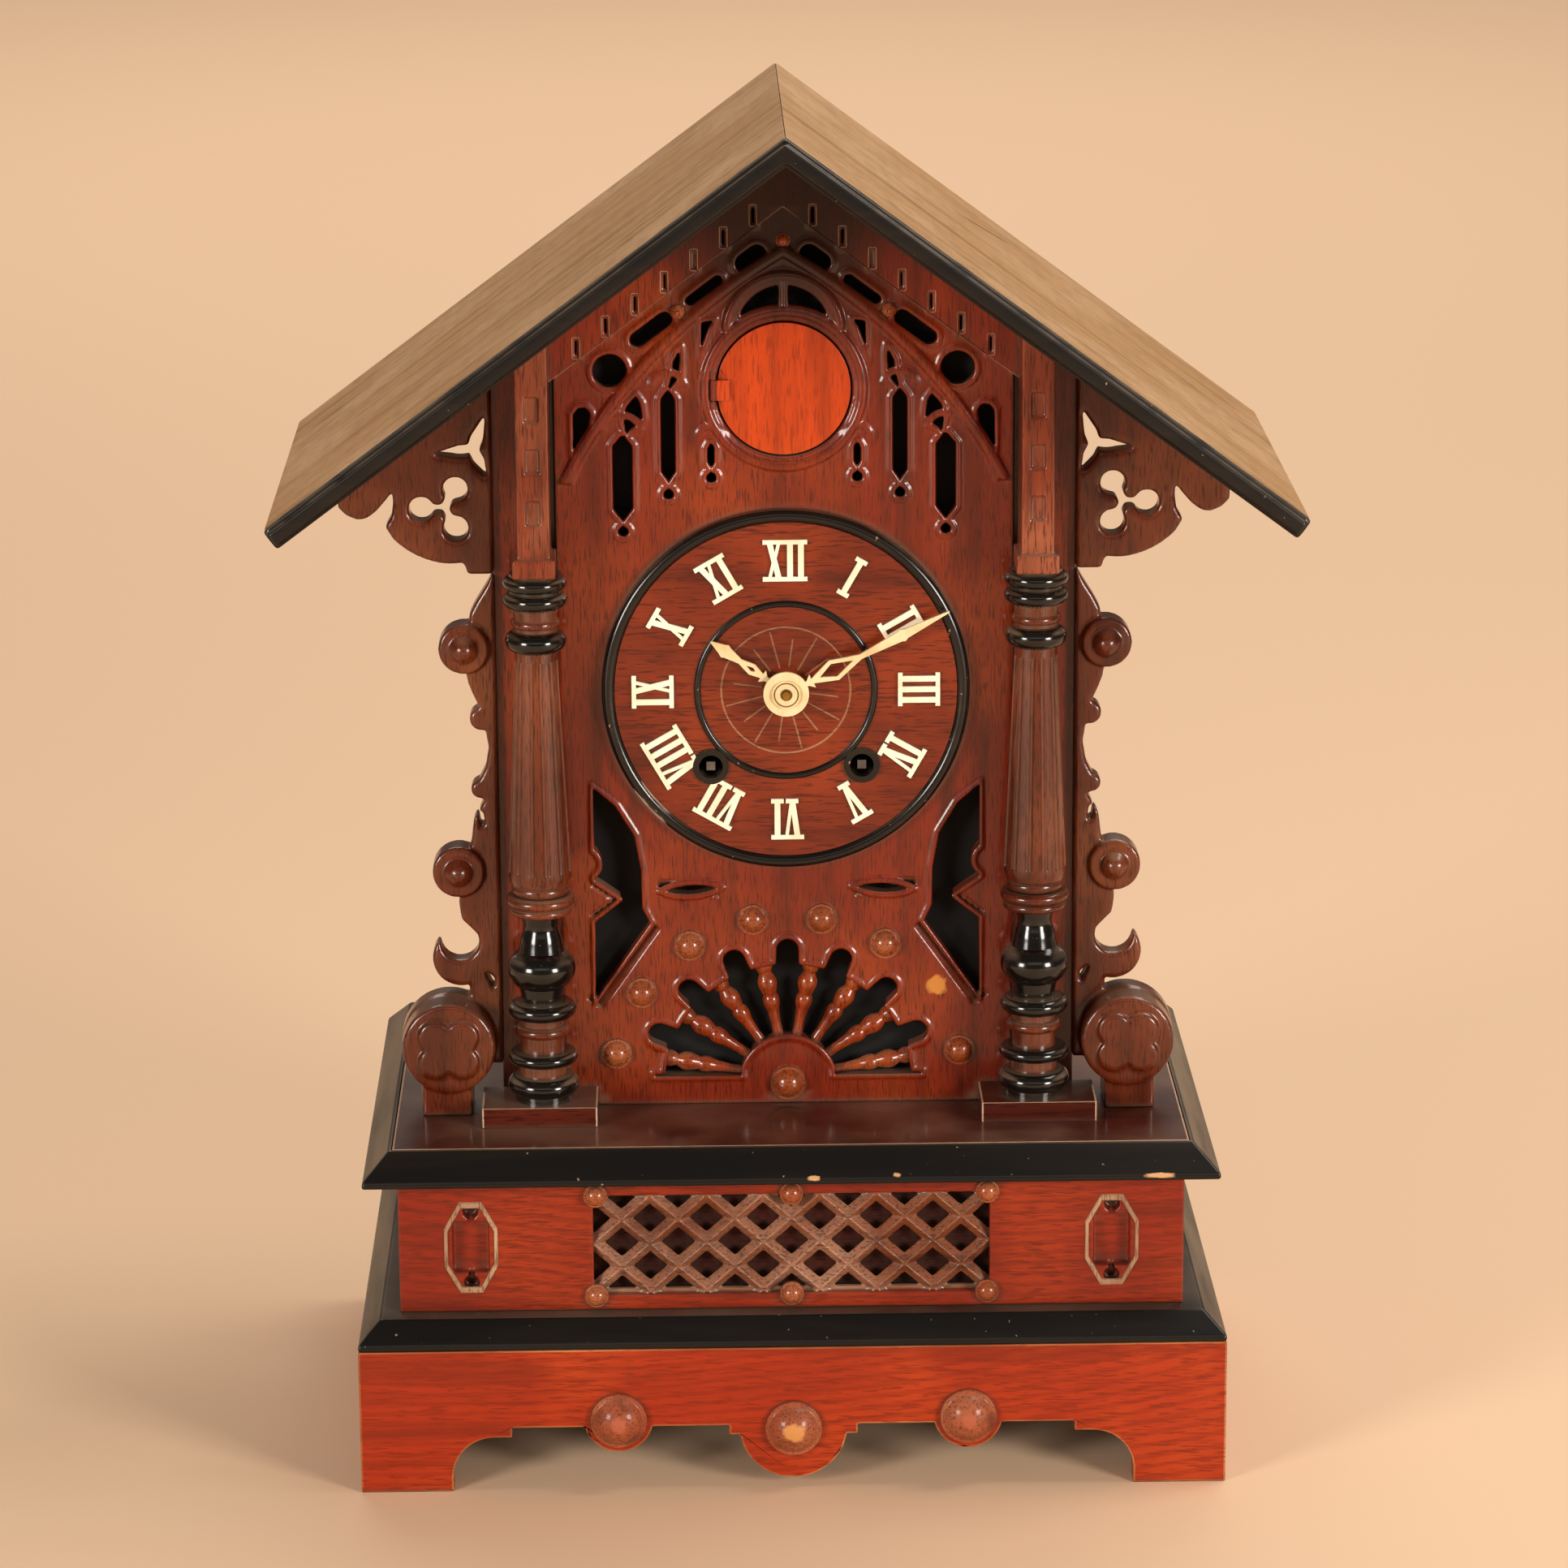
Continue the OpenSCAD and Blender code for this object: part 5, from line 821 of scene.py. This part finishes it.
# Roof
# Two veneered boards, mitred at the ridge, dry and dusty; the grain runs down each slope.
# The right-hand board has a short crack near the ridge. A black strip covers the front edges.
veneer = {}
for side, lean in (("left", roof_slope), ("right", -roof_slope)):
    veneer[side] = varnished("roof_veneer_" + side, "84603A", "B48A5C", "CCA478", "X",
                             roughness=0.62, coat=0.1, dust=0.3, turn=(0, lean, 0))
crack_middle = (0.082, 0.0513, 0.4681)
crack_turn = (0, -roof_slope, -0.63)
patch(veneer["right"], crack_middle, (0.022, 0.0013, 0.003), "4A2C18", 0.3, crack_turn)
for side, finish in veneer.items():
    slope = eased("roof_board_" + side, "roof_" + side, finish, edge=0.0007)
    finished(slope, "case", "roof_wood", "roof_board_" + side)
black_strip = ebonised("ebonised_strip", dust=0.5)
roof_strip = eased("roof_moulding", "roof_edge_strip", black_strip, edge=0.0012, segments=3)
finished(roof_strip, "case", "ebonised", "roof_moulding")


# Case and its back door
# Side and back boards of plain pine, stained outside, with a drilled door on two brass hinges.
# A wooden turn button at the door's free edge keeps it shut.
side_wood = varnished("side_pine", "461C0D", "7A3616", "94501F", "Z", roughness=0.42, coat=0.5,
                      dust=0.4)
back_wood = varnished("back_pine", "7A5836", "A07C52", "B6946A", "Z", roughness=0.65, coat=0.0,
                      dust=0.3)
for node, name, finish, slot in (("case_sides", "side_boards", side_wood, "side_wood"),
                                 ("case_back", "back_boards", back_wood, "back_wood"),
                                 ("bird_shelf", "shelf_board", back_wood, "pale_wood")):
    finished(eased(node, name, finish, edge=0.0008), "case", slot, node)
back_door = carved("back_door", "drilled_door", back_wood, voxel=0.0006, rounds=2, swell=0.0,
                   triangles=90000)
finished(back_door, "back_door", "back_wood", "back_door")
button = eased("door_button", "turn_button", side_wood, edge=0.0008)
finished(button, "door_button", "button_wood", "door_button")


# Cuckoo
# A small bird turned from lime wood and painted: grey-brown, with a pale breast, black eyes and
# a yellow bill. It waits turned aside on its wooden arm behind the door.
bird_paint = varnished("bird_paint", "2E2620", "5A4C40", "8A7C6C", "X", roughness=0.5, coat=0.3,
                       dust=0.3)
bird_turn = math.radians(45)
forward = Vector((math.sin(bird_turn), -math.cos(bird_turn), 0))
aside = Vector((math.cos(bird_turn), math.sin(bird_turn), 0))
head = Vector((0.0184, -0.0076, 0.4254))
breast = head - forward * 0.008 - Vector((0, 0, 0.0095))
bill = head + forward * 0.0078
patch(bird_paint, breast, (0.012, 0.012, 0.005), "C8B89C", 0.2)
patch(bird_paint, bill, (0.0037, 0.0037, 0.003), "D8A028", 0.05)
for side in (-1, 1):
    eye = head + forward * 0.0022 + aside * side * 0.0047 + Vector((0, 0, 0.0016))
    patch(bird_paint, eye, (0.0011, 0.0011, 0.0011), "080605", 0.0)
bird = carved("cuckoo_bird", "painted_bird", bird_paint, voxel=0.0004, rounds=3, swell=0.0,
              triangles=40000)
finished(bird, "bird", "bird_paint", "cuckoo_bird")


# Bellows
# Each whistle stands under a leather bellows with three soft pleats; the leather is glued to the
# whistle's lid below and to the lifting board above.
leather = varnished("bellows_leather", "6A5238", "9C8460", "B49C78", "Y", roughness=0.7,
                    coat=0.0, dust=0.3)
pleats = 3
tuck_in = Vector((0.0016, 0.0016, 0))
for side in ("left", "right"):
    node = "bellows_leather_" + side
    low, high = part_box(node)
    fold_t = (high.z - low.z) / (2 * pleats)
    folds = []
    for i in range(2 * pleats):
        tuck = tuck_in * (i % 2)
        fold_high = Vector((high.x, high.y, low.z + (i + 1) * fold_t)) - tuck
        folds.append(board("fold", low + tuck + Vector((0, 0, i * fold_t)), fold_high, leather))
    bellows = joined(folds, "pleated_leather_" + side, leather)
    one_skin(bellows, voxel=0.0004, rounds=3, swell=0.0, triangles=30000)
    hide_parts(node)
    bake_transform(bellows)


# Movement
# Brass plates and wheels, steel arbors and gong, a wooden pendulum rod with a brass bob, and
# the whistles' pale wooden pipes. The front plate's four feet are painted black where they reach
# through the black sheet: painted shade, so that they don't show in the tracery.
def metal(name, dark, light, roughness):
    finish, place = new_finish(name)
    tarnish = fade(finish, speckle(finish, place, 60.0, 5.0), 0.35, 0.7)
    coloured(finish, layer(finish, tarnish, paint(dark), paint(light)))
    brushed = speckle(finish, stretched(finish, place, (900.0, 900.0, 60.0)), 1.0, 2.0)
    roughened(finish, brushed, 0.12, 0.0002)
    set_plain(finish, {"Metallic": 1.0, "Roughness": roughness})
    return finish


brass = metal("aged_brass", "8A6428", "CCA050", 0.3)
steel = metal("blued_steel", "6A6A6C", "A2A2A4", 0.3)
front_plate = copied("front_plate", "plate_with_feet", brass)
front_plate.data.materials.append(shade_sheet_finish)
# Painted shade: faces in front of the black sheet take its black finish.
for face in front_plate.data.polygons:
    face.material_index = face.center.y < shade_sheet_y + 0.003
smooth_below(30)
finished(front_plate, "case", "plate_brass", "front_plate")
plain_finishes = [
    (brass, ["back_plate", "centre_wheel", "hour_wheel", "minute_wheel", "third_wheel",
             "escape_wheel", "going_barrel", "strike_barrel", "pin_wheel", "pendulum_bob",
             "door_fittings", "cuckoo_door_pin"]),
    (steel, ["anchor", "going_arbor", "strike_arbor", "gong", "hammer"]),
    (back_wood, ["whistle_pipes", "bellows_top_left", "bellows_top_right", "bird_bracket",
                 "pendulum_rod"]),
    (side_wood, ["bird_arm"]),
]
for finish, names in plain_finishes:
    for node in names:
        for material_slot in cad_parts[node].material_slots:
            material_slot.material = finish


# Studio
# A pale floor, two soft lights in front at either side, a weak one overhead, two more aimed down
# at the floor, and the camera above the roof's height and a little to the left.
bpy.ops.object.select_all(action="DESELECT")
bpy.ops.mesh.primitive_plane_add(size=80)
floor = bpy.context.object
floor.name = "pale_floor"
floor.data.materials.append(plain_finish("pale_paper", "E6C4A2", 0.8))

lamp_colour = (1.0, 0.93, 0.85)
clock_middle = Vector((0, 0, 0.28))
lamps = (("soft_light_left", (-1.8, -1.8, 0.75), 0.7, 0.7, 44),
         ("soft_light_right", (1.8, -1.8, 0.75), 0.7, 0.7, 52),
         ("soft_light_top", (1.0, 0.2, 2.3), 1.2, 1.2, 28),
         ("floor_light_back", (0, 3.6, 3.2), 4.0, 3.0, 124),
         ("floor_light_front", (0, -6.5, 3.2), 6.0, 3.0, 60))
for name, place, width, height, power in lamps:
    light = bpy.data.lights.new(name, "AREA")
    light.shape = "RECTANGLE"
    light.size = width
    light.size_y = height
    light.energy = power
    light.color = lamp_colour
    lamp = bpy.data.objects.new(name, light)
    lamp.location = place
    aim = Vector((0, place[1], 0)) if name.startswith("floor") else clock_middle
    lamp.rotation_euler = (aim - Vector(place)).to_track_quat("-Z", "Y").to_euler()
    bpy.context.scene.collection.objects.link(lamp)

world = bpy.data.worlds.new("pale_room")
world.use_nodes = True
world.node_tree.nodes["Background"].inputs["Color"].default_value = paint("F2DCC6")
world.node_tree.nodes["Background"].inputs["Strength"].default_value = 0.14
bpy.context.scene.world = world
bpy.context.scene.view_settings.view_transform = "Standard"

camera_place = Vector((-0.0389, -2.13254, 0.83091))
pitch = math.radians(-15.09)
yaw = math.radians(1.04)
roll = math.radians(-0.38)
focal_pixels = 6864.88
image_pixels = 1932
camera = bpy.data.cameras.new("camera")
camera.sensor_width = 36
camera.lens = focal_pixels / image_pixels * camera.sensor_width
viewpoint = bpy.data.objects.new("camera", camera)
viewpoint.matrix_world = (
    Matrix.Translation(camera_place) @ Matrix.Rotation(-yaw, 4, "Z")
    @ Matrix.Rotation(math.pi / 2 + pitch, 4, "X") @ Matrix.Rotation(roll, 4, "Z"))
bpy.context.scene.collection.objects.link(viewpoint)
bpy.context.scene.camera = viewpoint
